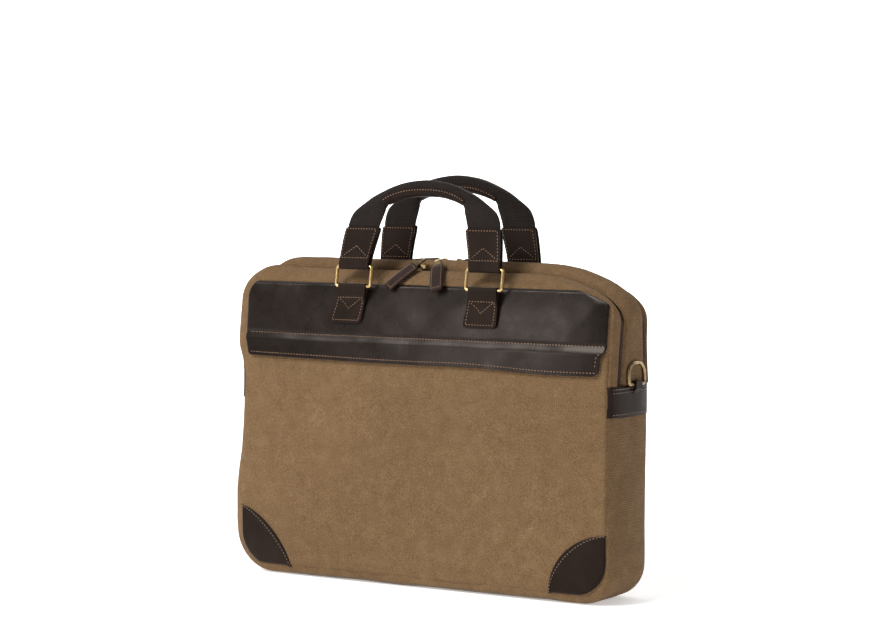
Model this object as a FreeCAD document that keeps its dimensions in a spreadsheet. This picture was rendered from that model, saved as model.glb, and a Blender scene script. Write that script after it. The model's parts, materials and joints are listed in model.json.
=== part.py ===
import FreeCAD, Part
import math
import os
import Sketcher

# A canvas and leather satchel of briefcase shape: two zipped compartments, a slip pocket
# under a leather flap, two handles on metal rings and a D-ring on each side.
# Frame: origin at the middle of the floor under the bag, +X to the bag's own left-to-right
# width, the front faces -Y, +Z is up.  Millimetres.

Vector = FreeCAD.Vector
Rotation = FreeCAD.Rotation

SIZES = {
    # body of the bag
    "half_width": 201, "half_depth": 37, "cloth": 2, "corner_low": 39, "corner_top": 32,
    "panel_low": 1, "gusset_half": 202, "gusset_corner": 40, "split_height": 196,
    # the part of each side that folds out when its zip is open
    "front_tilt": 6, "back_tilt": 3, "panel_gap": 0.9, "strip_gap": 3.2,
    "front_rise": 86, "back_rise": 96, "zip_rise": 101.5, "zip_half": 203.5, "zip_corner": 42,
    "front_strip": 13.5, "back_strip": 5, "front_tape": 3.6, "back_tape": 3.6, "tape_gap": 0.4,
    "tape_thick": 1.6, "crown_height": 299, "crown_half": 204, "crown_corner": 44,
    # leather
    "leather": 1.5, "yoke_half": 199, "yoke_low": 35, "patch": 58, "band_low": 169,
    "band_top": 195.5, "flap_half": 189, "flap_low": 13.3, "flap_top": 37.5, "flap_in": 2.9,
    "flap_out": 4.6, "slit_half": 165, "slit_low": 18, "slit_high": 28,
    # handles, rings and tabs
    "tab_offset": 72, "strap_width": 32, "tab_low": 50, "tab_thick": 3, "bar_rise": 82.4,
    "front_bar": 9, "back_bar": 5.5, "wire": 3, "bore": 3.6, "loop_half": 3.6,
    "ring_width": 38.6, "ring_height": 19, "ring_bend": 2.8, "end_rise": 38, "end_thick": 7,
    "webbing": 4, "webbing_slot": 4.4, "grip_thick": 12, "grip_half": 48, "grip_high": 84.5,
    "grip_low": 70, "shoulder": 45, "shoulder_drop": 9, "slot_low": 10, "leg_lean": 6,
    # side rings
    "side_ring_width": 29, "side_ring_height": 19, "side_ring_bend": 11, "side_wire": 3.2,
    "side_ring_x": 206.8, "side_ring_y": 6, "side_ring_z": 197, "chape_width": 11,
    # sliders and pulls
    "slider_length": 11, "slider_width": 7, "slider_thick": 3.5, "slider_low": 102,
    "front_pivot": 109.8, "back_pivot": 107.6, "pivot_forward": 1.1, "pull_bar": 1.4,
    "pull_bore": 2, "link_width": 4.4, "link_length": 9, "link_thick": 1.4, "post_gap": 1.1,
    "post_foot": 0.9, "pull_width": 11, "pull_reach": 31, "pull_thick": 2.6,
    # inside
    "board_half": 160, "board_thick": 2, "divider_front": 2, "divider_thick": 6,
    "sleeve_front": 19.5, "sleeve_thick": 3, "sleeve_top": 224, "organiser_half": 120,
    "organiser_low": 60, "organiser_top": 199, "organiser_wall": 1.2, "lining": 0.8,
    "inner_gap": 1.5, "strap_half": 15, "strap_length": 13, "strap_thick": 1.6,
    # the loop of a side ring: how far it hangs, its step off the band and the wire's play in it
    "chape_drop": 20, "chape_step": 0.9, "chape_foot": 1.6, "wire_play": 0.6,
    # play between a handle's webbing and the leather round it
    "slot_play": 0.6, "leg_play": 0.8, "grip_play": 0.3, "grip_wrap": 2.5,
}

HANDLE_LEAN = {"front": 11, "back": 2}      # degrees that a handle leans in over the bag
RING_LEAN = 9           # degrees that a handle's ring leans in
SIDE_RING_LEAN = 2      # degrees that a side ring leans against the bag
# which way each front pull hangs
FRONT_PULLS = {"left": Vector(-19, -23, -19.3), "right": Vector(12.5, -23, -17.5)}
FRONT_SLIDERS = {"left": -12, "right": 5}
BACK_SLIDERS = {"left": -8, "right": 8}
POCKET_SLIDER_X = -148
SLIDER_ROUND = 2.0

doc = FreeCAD.newDocument("satchel")
sheet = doc.addObject("Spreadsheet::Sheet", "sizes")
nodes = []


class Size:
    """A length that carries both its number and the spreadsheet formula that gives it."""

    def __init__(self, value, text):
        self.value = float(value)
        self.text = text

    @staticmethod
    def of(other):
        return other if isinstance(other, Size) else Size(other, repr(float(other)))

    def __add__(self, other):
        other = Size.of(other)
        return Size(self.value + other.value, f"({self.text} + {other.text})")

    def __sub__(self, other):
        other = Size.of(other)
        return Size(self.value - other.value, f"({self.text} - {other.text})")

    def __mul__(self, factor):
        factor = Size.of(factor)
        return Size(self.value * factor.value, f"({self.text} * {factor.text})")

    def __truediv__(self, factor):
        factor = Size.of(factor)
        return Size(self.value / factor.value, f"({self.text} / {factor.text})")

    def __neg__(self):
        return Size(-self.value, f"(0 - {self.text})")

    __radd__ = __add__
    __rmul__ = __mul__

    def __rsub__(self, other):
        return Size.of(other) - self


class Dimensions:
    """Every driving dimension by name, as a Size bound to its spreadsheet cell."""

    def __init__(self):
        for row, (name, value) in enumerate(SIZES.items(), start=1):
            sheet.set(f"A{row}", name.replace("_", " "))
            sheet.set(f"B{row}", str(value))
            sheet.setAlias(f"B{row}", name)
            setattr(self, name, Size(value, f"sizes.{name}"))


dim = Dimensions()
doc.recompute()


def tangent(angle):
    """The tangent of a spreadsheet angle in degrees."""
    return Size(math.tan(math.radians(angle.value)), f"tan({angle.text})")


def cosine(angle):
    return Size(math.cos(math.radians(angle.value)), f"cos({angle.text})")


def bind(item, name, size):
    """Set a property to a size and keep it tied to the spreadsheet."""
    size = Size.of(size)
    item.setExpression(name, size.text)


def origin_plane(body, role):
    return next(feature for feature in body.Origin.OriginFeatures if feature.Role == role)


def new_body(label, placement=None):
    body = doc.addObject("PartDesign::Body", label)
    body.Label = label
    if placement is not None:
        body.Placement = placement
    nodes.append(body)
    return body


def attach(body, name, role, offset):
    """A sketch on one of the body's own origin planes, moved along that plane's normal."""
    sketch = body.newObject("Sketcher::SketchObject", name)
    sketch.AttachmentSupport = [(origin_plane(body, role), "")]
    sketch.MapMode = "FlatFace"
    bind(sketch, "AttachmentOffset.Base.z", offset)
    return sketch


def pin(sketch, geometry, end, x, y):
    """Fix one end of a piece of a sketch at a place given by two sizes."""
    for kind, size in (("DistanceX", Size.of(x)), ("DistanceY", Size.of(y))):
        index = sketch.addConstraint(Sketcher.Constraint(kind, -1, 1, geometry, end, size.value))
        sketch.setExpression(f"Constraints[{index}]", size.text)


def rounded(corners):
    """Turn (x, y, radius) corners into the points and arcs of a closed outline.

    The sides that meet at a rounded corner run along the sketch's axes.
    """
    steps = []
    for index, (x, y, radius) in enumerate(corners):
        x, y, radius = Size.of(x), Size.of(y), Size.of(radius)
        if radius.value == 0:
            steps.append((x, y, None, None))
            continue
        ends = []
        for other in (corners[index - 1], corners[(index + 1) % len(corners)]):
            dx = Size.of(other[0]).value - x.value
            dy = Size.of(other[1]).value - y.value
            if abs(dx) > abs(dy):
                ends.append((x + math.copysign(1, dx) * radius, y))
            else:
                ends.append((x, y + math.copysign(1, dy) * radius))
        centre = (ends[0][0].value + ends[1][0].value - x.value,
                  ends[0][1].value + ends[1][1].value - y.value)
        steps.append((*ends[0], radius, centre))
        steps.append((*ends[1], None, None))
    return steps


def draw(sketch, corners):
    """Draw a closed outline with every point bound to the spreadsheet."""
    steps = rounded(corners)
    pieces = []
    for index, (x, y, radius, centre) in enumerate(steps):
        after_x, after_y = steps[(index + 1) % len(steps)][:2]
        start = Vector(x.value, y.value, 0)
        end = Vector(after_x.value, after_y.value, 0)
        if (end - start).Length < 1e-6:
            continue
        if radius is None:
            geometry = Part.LineSegment(start, end)
        else:
            middle = Vector(*centre, 0)
            bulge = (start + end) * 0.5 - middle
            bulge.normalize()
            geometry = Part.Arc(start, middle + bulge * radius.value, end)
        pieces.append((sketch.addGeometry(geometry), x, y, start, radius))
    for index, (number, x, y, start, radius) in enumerate(pieces):
        before = pieces[index - 1][0]
        first = 1 if same(sketch, number, 1, start) else 2
        last = 2 if same(sketch, before, 2, start) else 1
        sketch.addConstraint(Sketcher.Constraint("Coincident", before, last, number, first))
        pin(sketch, number, first, x, y)
        if radius is not None:
            held = sketch.addConstraint(Sketcher.Constraint("Radius", number, radius.value))
            sketch.setExpression(f"Constraints[{held}]", radius.text)


def same(sketch, geometry, end, place):
    return (sketch.getPoint(geometry, end) - place).Length < 1e-5


def draw_circle(sketch, x, y, diameter):
    x, y, diameter = Size.of(x), Size.of(y), Size.of(diameter)
    circle = Part.Circle(Vector(x.value, y.value, 0), Vector(0, 0, 1), diameter.value / 2)
    number = sketch.addGeometry(circle)
    pin(sketch, number, 3, x, y)
    held = sketch.addConstraint(Sketcher.Constraint("Diameter", number, diameter.value))
    sketch.setExpression(f"Constraints[{held}]", diameter.text)


def extrude(body, name, role, low, high, corners=None, circle=None, cut=False):
    """Pad or pocket an outline from low to high along the axis that its plane faces.

    XZ_Plane outlines run along Y, YZ_Plane ones along X and XY_Plane ones along Z.
    """
    low, high = Size.of(low), Size.of(high)
    offset = -high if role == "XZ_Plane" else low
    sketch = attach(body, f"{name}_outline", role, offset)
    if corners is not None:
        draw(sketch, corners)
    if circle is not None:
        draw_circle(sketch, *circle)
    before = body.Shape.Volume if cut else 0
    feature = body.newObject("PartDesign::Pocket" if cut else "PartDesign::Pad", name)
    feature.Profile = sketch
    bind(feature, "Length", high - low)
    if cut:
        feature.Reversed = True     # a pocket runs against the sketch's normal unless reversed
        doc.recompute()
        if not body.Shape.Volume < before - 1e-6:
            raise RuntimeError(f"{body.Label}: {name} cuts nothing")
    doc.recompute()
    return feature


def mirror(body, name, feature, role="YZ_Plane"):
    """Repeat features on the other side of one of the body's origin planes."""
    mirrored = body.newObject("PartDesign::Mirrored", name)
    mirrored.Originals = feature if isinstance(feature, list) else [feature]
    mirrored.MirrorPlane = (origin_plane(body, role), [""])
    body.Tip = mirrored
    doc.recompute()
    return mirrored


def box_outline(left, right, low, high, radius=0):
    return [(left, low, radius), (right, low, radius), (right, high, radius), (left, high, radius)]


def arch(half, top, radius, low, thick):
    """An upside-down U of even thickness with two rounded corners."""
    return [
        (-half, low, 0), (-half, top, radius), (half, top, radius), (half, low, 0),
        (half - thick, low, 0), (half - thick, top - thick, radius - thick),
        (thick - half, top - thick, radius - thick), (thick - half, low, 0),
    ]


# --- places that several sub-parts share ----------------------------------------------------

class Side:
    """One face of the bag: its folding upper part, hinged along the split on its outer face."""

    def __init__(self, name, way, tilt, rise, strip, tape, bar, face):
        self.name = name
        self.way = way              # -1 for the front, +1 for the back
        self.tilt = tilt
        self.rise = rise
        self.strip = strip
        self.tape = tape
        self.bar = bar              # how far the ring's bar stands off the panel's outer face
        self.face = face            # how far the leather under the tab stands off that face

    def span(self, start, end):
        """Depths measured inwards from the outer face, as a low and a high Y of the side."""
        start, end = Size.of(start), Size.of(end)
        return (start, end) if self.way < 0 else (-end, -start)

    def placement(self):
        base = Vector(0, self.way * SIZES["half_depth"], SIZES["split_height"])
        return FreeCAD.Placement(base, Rotation(Vector(1, 0, 0), self.way * self.tilt.value))

    def world(self, x, inwards, rise):
        """A world point from a place across, inwards of and above the fold line."""
        return self.placement().multVec(Vector(x, -self.way * inwards, rise))


FRONT = Side("front", -1, dim.front_tilt, dim.front_rise, dim.front_strip, dim.front_tape,
             dim.front_bar, dim.leather)
BACK = Side("back", 1, dim.back_tilt, dim.back_rise, dim.back_strip, dim.back_tape,
            dim.back_bar, Size.of(0))


# --- the fixed body of the bag --------------------------------------------------------------

def lower_panel(side):
    body = new_body(f"{side.name}_panel_lower")
    low, high = (-dim.half_depth, dim.cloth - dim.half_depth)
    if side.way > 0:
        low, high = (dim.half_depth - dim.cloth, dim.half_depth)
    extrude(body, "panel", "XZ_Plane", low, high, [
        (-dim.half_width, dim.split_height, 0), (-dim.half_width, dim.panel_low, dim.corner_low),
        (dim.half_width, dim.panel_low, dim.corner_low), (dim.half_width, dim.split_height, 0)])


def lower_gusset():
    body = new_body("gusset_lower")
    inner = dim.gusset_half - dim.cloth
    bend = dim.gusset_corner - dim.cloth
    extrude(body, "band", "XZ_Plane", dim.cloth - dim.half_depth, dim.half_depth - dim.cloth, [
        (-dim.gusset_half, dim.split_height, 0), (-dim.gusset_half, 0, dim.gusset_corner),
        (dim.gusset_half, 0, dim.gusset_corner), (dim.gusset_half, dim.split_height, 0),
        (inner, dim.split_height, 0), (inner, dim.cloth, bend),
        (-inner, dim.cloth, bend), (-inner, dim.split_height, 0)])


def middle_gusset():
    """The strip between the two zips, up one side, over the crown and down the other."""
    body = new_body("gusset_middle")
    extrude(body, "strip", "XZ_Plane", -dim.half_depth, dim.half_depth,
            arch(dim.crown_half, dim.crown_height, dim.crown_corner, dim.split_height, dim.cloth))
    reach = dim.half_depth + 10
    low, high = dim.split_height - 10, dim.crown_height + 10
    for side in (FRONT, BACK):
        depth = (side.strip + side.tape * 2 + dim.tape_gap) / cosine(side.tilt)
        foot = dim.half_depth - depth + tangent(side.tilt) * 10
        head = dim.half_depth - depth - tangent(side.tilt) * (high - dim.split_height)
        way = side.way
        extrude(body, f"{side.name}_edge", "YZ_Plane", -dim.half_width * 2, dim.half_width * 2, [
            (way * foot, low, 0), (way * head, high, 0),
            (way * reach, high, 0), (way * reach, low, 0)], cut=True)


def corner_patches():
    body = new_body("corner_patches")
    edge, foot = dim.half_width, dim.panel_low
    inner, head = edge - dim.patch, foot + dim.patch
    patch = extrude(body, "patch", "XZ_Plane", -dim.half_depth - dim.leather, -dim.half_depth, [
        (edge, foot, dim.corner_low), (inner, foot, 0), (inner, head, dim.patch), (edge, head, 0)])
    mirror(body, "other_corner", patch)


def side_bands():
    body = new_body("side_bands")
    half = dim.half_depth - dim.cloth
    outer = dim.gusset_half + dim.leather
    band = extrude(body, "band", "YZ_Plane", dim.gusset_half, outer,
                   box_outline(-half, half, dim.band_low, dim.band_top))
    mirror(body, "other_band", band)


def ring_chapes():
    """The leather loops that hold the side rings on the bands."""
    body = new_body("ring_chapes")
    inner = dim.gusset_half + dim.leather
    middle = dim.side_ring_z
    half = dim.chape_width / 2
    outer = dim.side_ring_x + dim.loop_half - dim.wire_play
    plate = extrude(body, "loop", "XZ_Plane", dim.side_ring_y - half, dim.side_ring_y + half, [
        (inner, middle - dim.chape_drop, 0), (inner, middle - dim.inner_gap, 0),
        (inner + dim.chape_step, middle - dim.inner_gap, 0),
        (inner + dim.chape_step, middle + 3, 0), (outer, middle + 3, 0), (outer, middle - 4, 0),
        (inner + dim.chape_foot, middle - 9, 0),
        (inner + dim.chape_foot, middle - dim.chape_drop, 0)])
    bore = extrude(body, "bore", "XZ_Plane", dim.side_ring_y - half * 2, dim.side_ring_y + half * 2,
                   circle=(dim.side_ring_x, middle, dim.side_wire + dim.wire_play), cut=True)
    mirror(body, "other_side", [plate, bore])


def inner_tape(side):
    """The half of a zip that is sewn to the middle strip."""
    body = new_body(f"zip_{side.name}_tape_inner", side.placement())
    start = side.strip + side.tape + dim.tape_gap
    extrude(body, "tape", "XZ_Plane", *side.span(start, start + side.tape),
            arch(dim.zip_half, dim.zip_rise, dim.zip_corner, dim.strip_gap, dim.tape_thick))


def inside_pieces():
    board = new_body("base_board")
    half = dim.half_depth - dim.cloth - 2
    extrude(board, "board", "XY_Plane", dim.cloth, dim.cloth + dim.board_thick,
            box_outline(-dim.board_half, dim.board_half, -half, half, 12))

    divider = new_body("divider")
    edge = dim.gusset_half - dim.cloth - dim.inner_gap
    foot = dim.cloth + dim.board_thick
    extrude(divider, "pad", "XZ_Plane", dim.divider_front, dim.divider_front + dim.divider_thick, [
        (-edge, foot, dim.corner_low), (edge, foot, dim.corner_low),
        (edge, dim.crown_height - dim.cloth, dim.crown_corner),
        (-edge, dim.crown_height - dim.cloth, dim.crown_corner)])

    sleeve = new_body("laptop_sleeve")
    edge = edge - 8
    extrude(sleeve, "wall", "XZ_Plane", dim.sleeve_front, dim.sleeve_front + dim.sleeve_thick,
            box_outline(-edge, edge, foot + 1, dim.sleeve_top, 30))

    organiser = new_body("organiser_pocket")
    front = dim.divider_front - 4
    extrude(organiser, "slab", "XZ_Plane", front, dim.divider_front,
            box_outline(-dim.organiser_half, dim.organiser_half,
                        dim.organiser_low, dim.organiser_top))
    wall = dim.organiser_wall
    inner = dim.organiser_half - wall
    extrude(organiser, "mouth", "XZ_Plane", front + wall, dim.divider_front + 1,
            box_outline(-inner, inner, dim.organiser_low + wall, dim.organiser_top + 5), cut=True)

    lining = new_body("front_pocket_lining")
    inner_face = dim.cloth - dim.half_depth
    extrude(lining, "lining", "XZ_Plane", inner_face, inner_face + dim.lining,
            box_outline(-dim.slit_half, dim.slit_half, 60, dim.split_height - 1))


def sleeve_strap():
    """The short strap that closes over whatever is in the sleeve; it lifts at its front edge."""
    body = new_body("sleeve_strap")
    start = dim.sleeve_front + 0.5
    foot = dim.sleeve_top + dim.tape_gap
    extrude(body, "strap", "XY_Plane", foot, foot + dim.strap_thick,
            box_outline(-dim.strap_half, dim.strap_half, start, start + dim.strap_length, 0))


# --- the upper part of each face, which folds out ---------------------------------------------

def upper_panel(side):
    body = new_body(f"{side.name}_panel_upper", side.placement())
    extrude(body, "panel", "XZ_Plane", *side.span(0, dim.cloth), [
        (-dim.half_width, dim.panel_gap, 0), (-dim.half_width, side.rise, dim.corner_top),
        (dim.half_width, side.rise, dim.corner_top), (dim.half_width, dim.panel_gap, 0)])
    if side is FRONT:
        extrude(body, "pocket_mouth", "XZ_Plane", -1, dim.cloth + 1,
                box_outline(-dim.slit_half, dim.slit_half, dim.slit_low, dim.slit_high), cut=True)


def gusset_strip(side):
    """The strip of gusset that slopes from the panel's seam up to the zip."""
    body = new_body(f"gusset_{side.name}_strip", side.placement())
    half, top, bend = dim.zip_half, dim.zip_rise, dim.zip_corner
    stations = [(dim.cloth, dim.gusset_half, side.rise + 1, dim.corner_top + 1),
                (side.strip, half, top, bend)]
    sketches = []
    for number, (depth, edge, height, radius) in enumerate(stations):
        sketch = attach(body, f"section_{number}", "XZ_Plane", depth * side.way)
        draw(sketch, arch(edge, height, radius, dim.strip_gap, dim.cloth))
        sketches.append(sketch)
    doc.recompute()
    loft = body.newObject("PartDesign::AdditiveLoft", "strip")
    loft.Profile = sketches[0]
    loft.Sections = sketches[1:]
    loft.Ruled = True
    doc.recompute()


def outer_tape(side):
    """The half of a zip that is sewn to the folding strip."""
    body = new_body(f"zip_{side.name}_tape_outer", side.placement())
    extrude(body, "tape", "XZ_Plane", *side.span(side.strip, side.strip + side.tape),
            arch(dim.zip_half, dim.zip_rise, dim.zip_corner, dim.strip_gap, dim.tape_thick))


def yoke():
    body = new_body("yoke", FRONT.placement())
    extrude(body, "leather", "XZ_Plane", -dim.leather, 0, [
        (-dim.yoke_half, dim.yoke_low, 0), (-dim.yoke_half, dim.front_rise - 1, dim.corner_top - 1),
        (dim.yoke_half, dim.front_rise - 1, dim.corner_top - 1), (dim.yoke_half, dim.yoke_low, 0)])


def flap():
    """The free lower edge of the yoke, over the slip pocket's zip; it lifts at its top edge."""
    body = new_body("flap", FRONT.placement())
    extrude(body, "leather", "XZ_Plane", -dim.flap_out, -dim.flap_in, [
        (-dim.flap_half, dim.flap_low, 8), (dim.flap_half, dim.flap_low, 8),
        (dim.flap_half, dim.flap_top, 0), (-dim.flap_half, dim.flap_top, 0)])


def pocket_zip():
    tape = new_body("pocket_zip_tape", FRONT.placement())
    extrude(tape, "tape", "XZ_Plane", dim.tape_gap, dim.tape_thick,
            box_outline(-dim.slit_half, dim.slit_half, dim.slit_low, dim.slit_high))
    slider = new_body("pocket_slider", FRONT.placement())
    middle = (dim.slit_low + dim.slit_high) / 2
    extrude(slider, "body", "XZ_Plane", 0.3 - dim.flap_in, 0.1,
            box_outline(POCKET_SLIDER_X - 5, POCKET_SLIDER_X + 5, middle - 4, middle + 4, 2))
    extrude(slider, "tab", "XZ_Plane", 0.3 - dim.flap_in, -1.2,
            box_outline(POCKET_SLIDER_X + 4, POCKET_SLIDER_X + 26, middle - 3, middle + 3, 1.5))


def handle_tabs(side):
    """Two leather tabs, each folded round the lower bar of a ring."""
    body = new_body(f"handle_tabs_{side.name}", side.placement())
    way = side.way
    near, far = way * side.face, way * (side.face + dim.tab_thick)
    bar = way * side.bar
    outer, inner = way * (side.bar + dim.loop_half), way * (side.bar - dim.loop_half)
    top = dim.bar_rise + dim.loop_half
    bend = dim.bar_rise - dim.loop_half
    half = dim.strap_width / 2
    tab = extrude(body, "tab", "YZ_Plane", dim.tab_offset - half, dim.tab_offset + half, [
        (near, dim.tab_low, 0), (far, dim.tab_low, 0), (far, bend - 9, 0), (outer, bend, 0),
        (outer, top, 1.5), (inner, top, 1.5), (inner, bend, 0), (near, bend - 5, 0)])
    bore = extrude(body, "bore", "YZ_Plane", dim.tab_offset - half * 1.5,
                   dim.tab_offset + half * 1.5, circle=(bar, dim.bar_rise, dim.bore), cut=True)
    mirror(body, "other_tab", [tab, bore])


# --- rings ------------------------------------------------------------------------------------

def wire_ring(label, placement, width, height, low_bend, top_bend, wire):
    """A closed ring of round wire; its lower bar lies on the body's own X axis."""
    body = new_body(label, placement)
    half = width / 2
    path = attach(body, "path", "XZ_Plane", 0)
    draw(path, [(half, height / 3, 0), (half, height, top_bend), (-half, height, top_bend),
                (-half, 0, low_bend), (half, 0, low_bend)])
    section = attach(body, "section", "XY_Plane", height / 3)
    draw_circle(section, half, 0, wire)
    doc.recompute()
    pipe = body.newObject("PartDesign::AdditivePipe", "wire")
    pipe.Profile = section
    pipe.Spine = path
    pipe.Transition = "Right corner"
    doc.recompute()


def lower_bar(side):
    """World place of the lower bar of a handle's ring, at the middle of the bag."""
    return side.world(0, -side.bar.value, dim.bar_rise.value)


def upper_bar(side):
    lean = math.radians(RING_LEAN)
    height = dim.ring_height.value
    step = Vector(0, -side.way * height * math.sin(lean), height * math.cos(lean))
    return lower_bar(side) + step


def handle_rings(side):
    turn = Rotation(Vector(1, 0, 0), side.way * RING_LEAN)
    for name, way in (("left", -1), ("right", 1)):
        place = lower_bar(side) + Vector(way * dim.tab_offset.value, 0, 0)
        wire_ring(f"ring_{side.name}_{name}", FreeCAD.Placement(place, turn), dim.ring_width,
                  dim.ring_height, dim.ring_bend, dim.ring_bend, dim.wire)


def side_rings():
    for name, way in (("left", -1), ("right", 1)):
        place = Vector(way * dim.side_ring_x.value, dim.side_ring_y.value, dim.side_ring_z.value)
        turn = Rotation(Vector(0, 1, 0), -way * SIDE_RING_LEAN)
        turn = turn.multiply(Rotation(Vector(0, 0, 1), 90))
        wire_ring(f"side_ring_{name}", FreeCAD.Placement(place, turn), dim.side_ring_width,
                  dim.side_ring_height, Size.of(3), dim.side_ring_bend, dim.side_wire)


# --- handles ----------------------------------------------------------------------------------

def handle_frame(side):
    turn = Rotation(Vector(1, 0, 0), side.way * HANDLE_LEAN[side.name])
    return FreeCAD.Placement(upper_bar(side), turn)


def handle(side):
    """A strap with leather ends on the rings and a leather-bound grip in the middle."""
    frame = handle_frame(side)
    half = dim.strap_width / 2
    inner, outer = dim.tab_offset - half, dim.tab_offset + half
    low, top = dim.grip_low, dim.grip_high

    ends = new_body(f"handle_{side.name}_ends", frame)
    lean = dim.leg_lean
    thick = dim.end_thick / 2
    block = extrude(ends, "end", "XZ_Plane", -thick, thick, [
        (inner, -dim.loop_half, 0), (outer, -dim.loop_half, 0), (outer, 0, 0),
        (outer - lean, dim.end_rise, 2), (inner - lean, dim.end_rise, 2), (inner, 0, 0)])
    bore = extrude(ends, "bore", "YZ_Plane", inner - 5, outer + 5,
                   circle=(0, 0, dim.bore), cut=True)
    foot_lean = lean * dim.slot_low / dim.end_rise
    slot_in, slot_out = inner + dim.slot_play, outer - dim.slot_play
    slot = extrude(ends, "slot", "XZ_Plane", -dim.webbing_slot / 2, dim.webbing_slot / 2, [
        (slot_in - foot_lean, dim.slot_low, 0), (slot_out - foot_lean, dim.slot_low, 0),
        (slot_out - lean, dim.end_rise, 0), (slot_out - lean, dim.end_rise + 5, 0),
        (slot_in - lean, dim.end_rise + 5, 0), (slot_in - lean, dim.end_rise, 0)], cut=True)
    mirror(ends, "other_end", [block, bore, slot])

    webbing = new_body(f"handle_{side.name}_webbing", frame)
    leg_in, leg_out = inner + dim.leg_play, outer - dim.leg_play
    foot = dim.slot_low + dim.grip_play
    knee = dim.end_rise + 12
    right = [
        (dim.grip_half / 3, low, 0), (dim.shoulder, low - dim.shoulder_drop, 0),
        (leg_in - lean - 2, knee + 3, 0), (leg_in - lean, dim.end_rise, 0),
        (leg_in - foot_lean, foot, 0), (leg_out - foot_lean, foot, 0),
        (leg_out - lean, dim.end_rise, 0), (leg_out - lean - 5, knee, 0),
        (dim.shoulder + 2, top - 8, 0), (dim.grip_half / 3, top, 0)]
    left = [(-x, z, radius) for x, z, radius in reversed(right)]
    thick = dim.webbing / 2
    extrude(webbing, "strap", "XZ_Plane", -thick, thick, right + left)

    grip = new_body(f"handle_{side.name}_grip", frame)
    edge = dim.shoulder - 3
    wall = dim.grip_thick / 2
    bound = [
        (dim.grip_half / 3, low - dim.grip_wrap, 0), (edge, low - dim.shoulder_drop - 2, 0),
        (edge, top - dim.grip_thick, 0), (dim.grip_half / 3, top - dim.webbing, 0)]
    other = [(-x, z, radius) for x, z, radius in reversed(bound)]
    extrude(grip, "binding", "XZ_Plane", -wall, wall, bound + other)
    hole = [
        (dim.grip_half / 3, low - dim.grip_play, 0),
        (dim.shoulder, low - dim.shoulder_drop - dim.grip_play, 0),
        (dim.shoulder + 3, top, 0), (dim.grip_half / 3, top + 3, 0)]
    other = [(-x, z, radius) for x, z, radius in reversed(hole)]
    extrude(grip, "fold", "XZ_Plane", -dim.webbing_slot / 2, dim.webbing_slot / 2,
            hole + other, cut=True)


# --- sliders and pulls ------------------------------------------------------------------------

def pull_direction(side, name):
    if side is BACK:
        return Vector(1 if name == "right" else -1, 0, 0)
    return Vector(FRONT_PULLS[name]).normalize()


def pull_axis(side, name):
    """The line a pull lifts on, which lies along the cloth under the pull."""
    way = pull_direction(side, name)
    if side is BACK:
        return Vector(way.y, -way.x, 0)
    rise = side.placement().Rotation.multVec(
        Vector(0, side.rise.value - dim.zip_rise.value, side.strip.value))
    return way.cross(rise).normalize()


def zip_line(side):
    """How far inwards of the outer face the two tapes of a zip meet."""
    return side.strip.value + side.tape.value + dim.tape_gap.value / 2


def pull_pivot(side, x):
    height = dim.front_pivot if side is FRONT else dim.back_pivot
    forward = dim.pivot_forward.value if side is FRONT else 0
    return side.world(x, zip_line(side) - forward, height.value)


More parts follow.
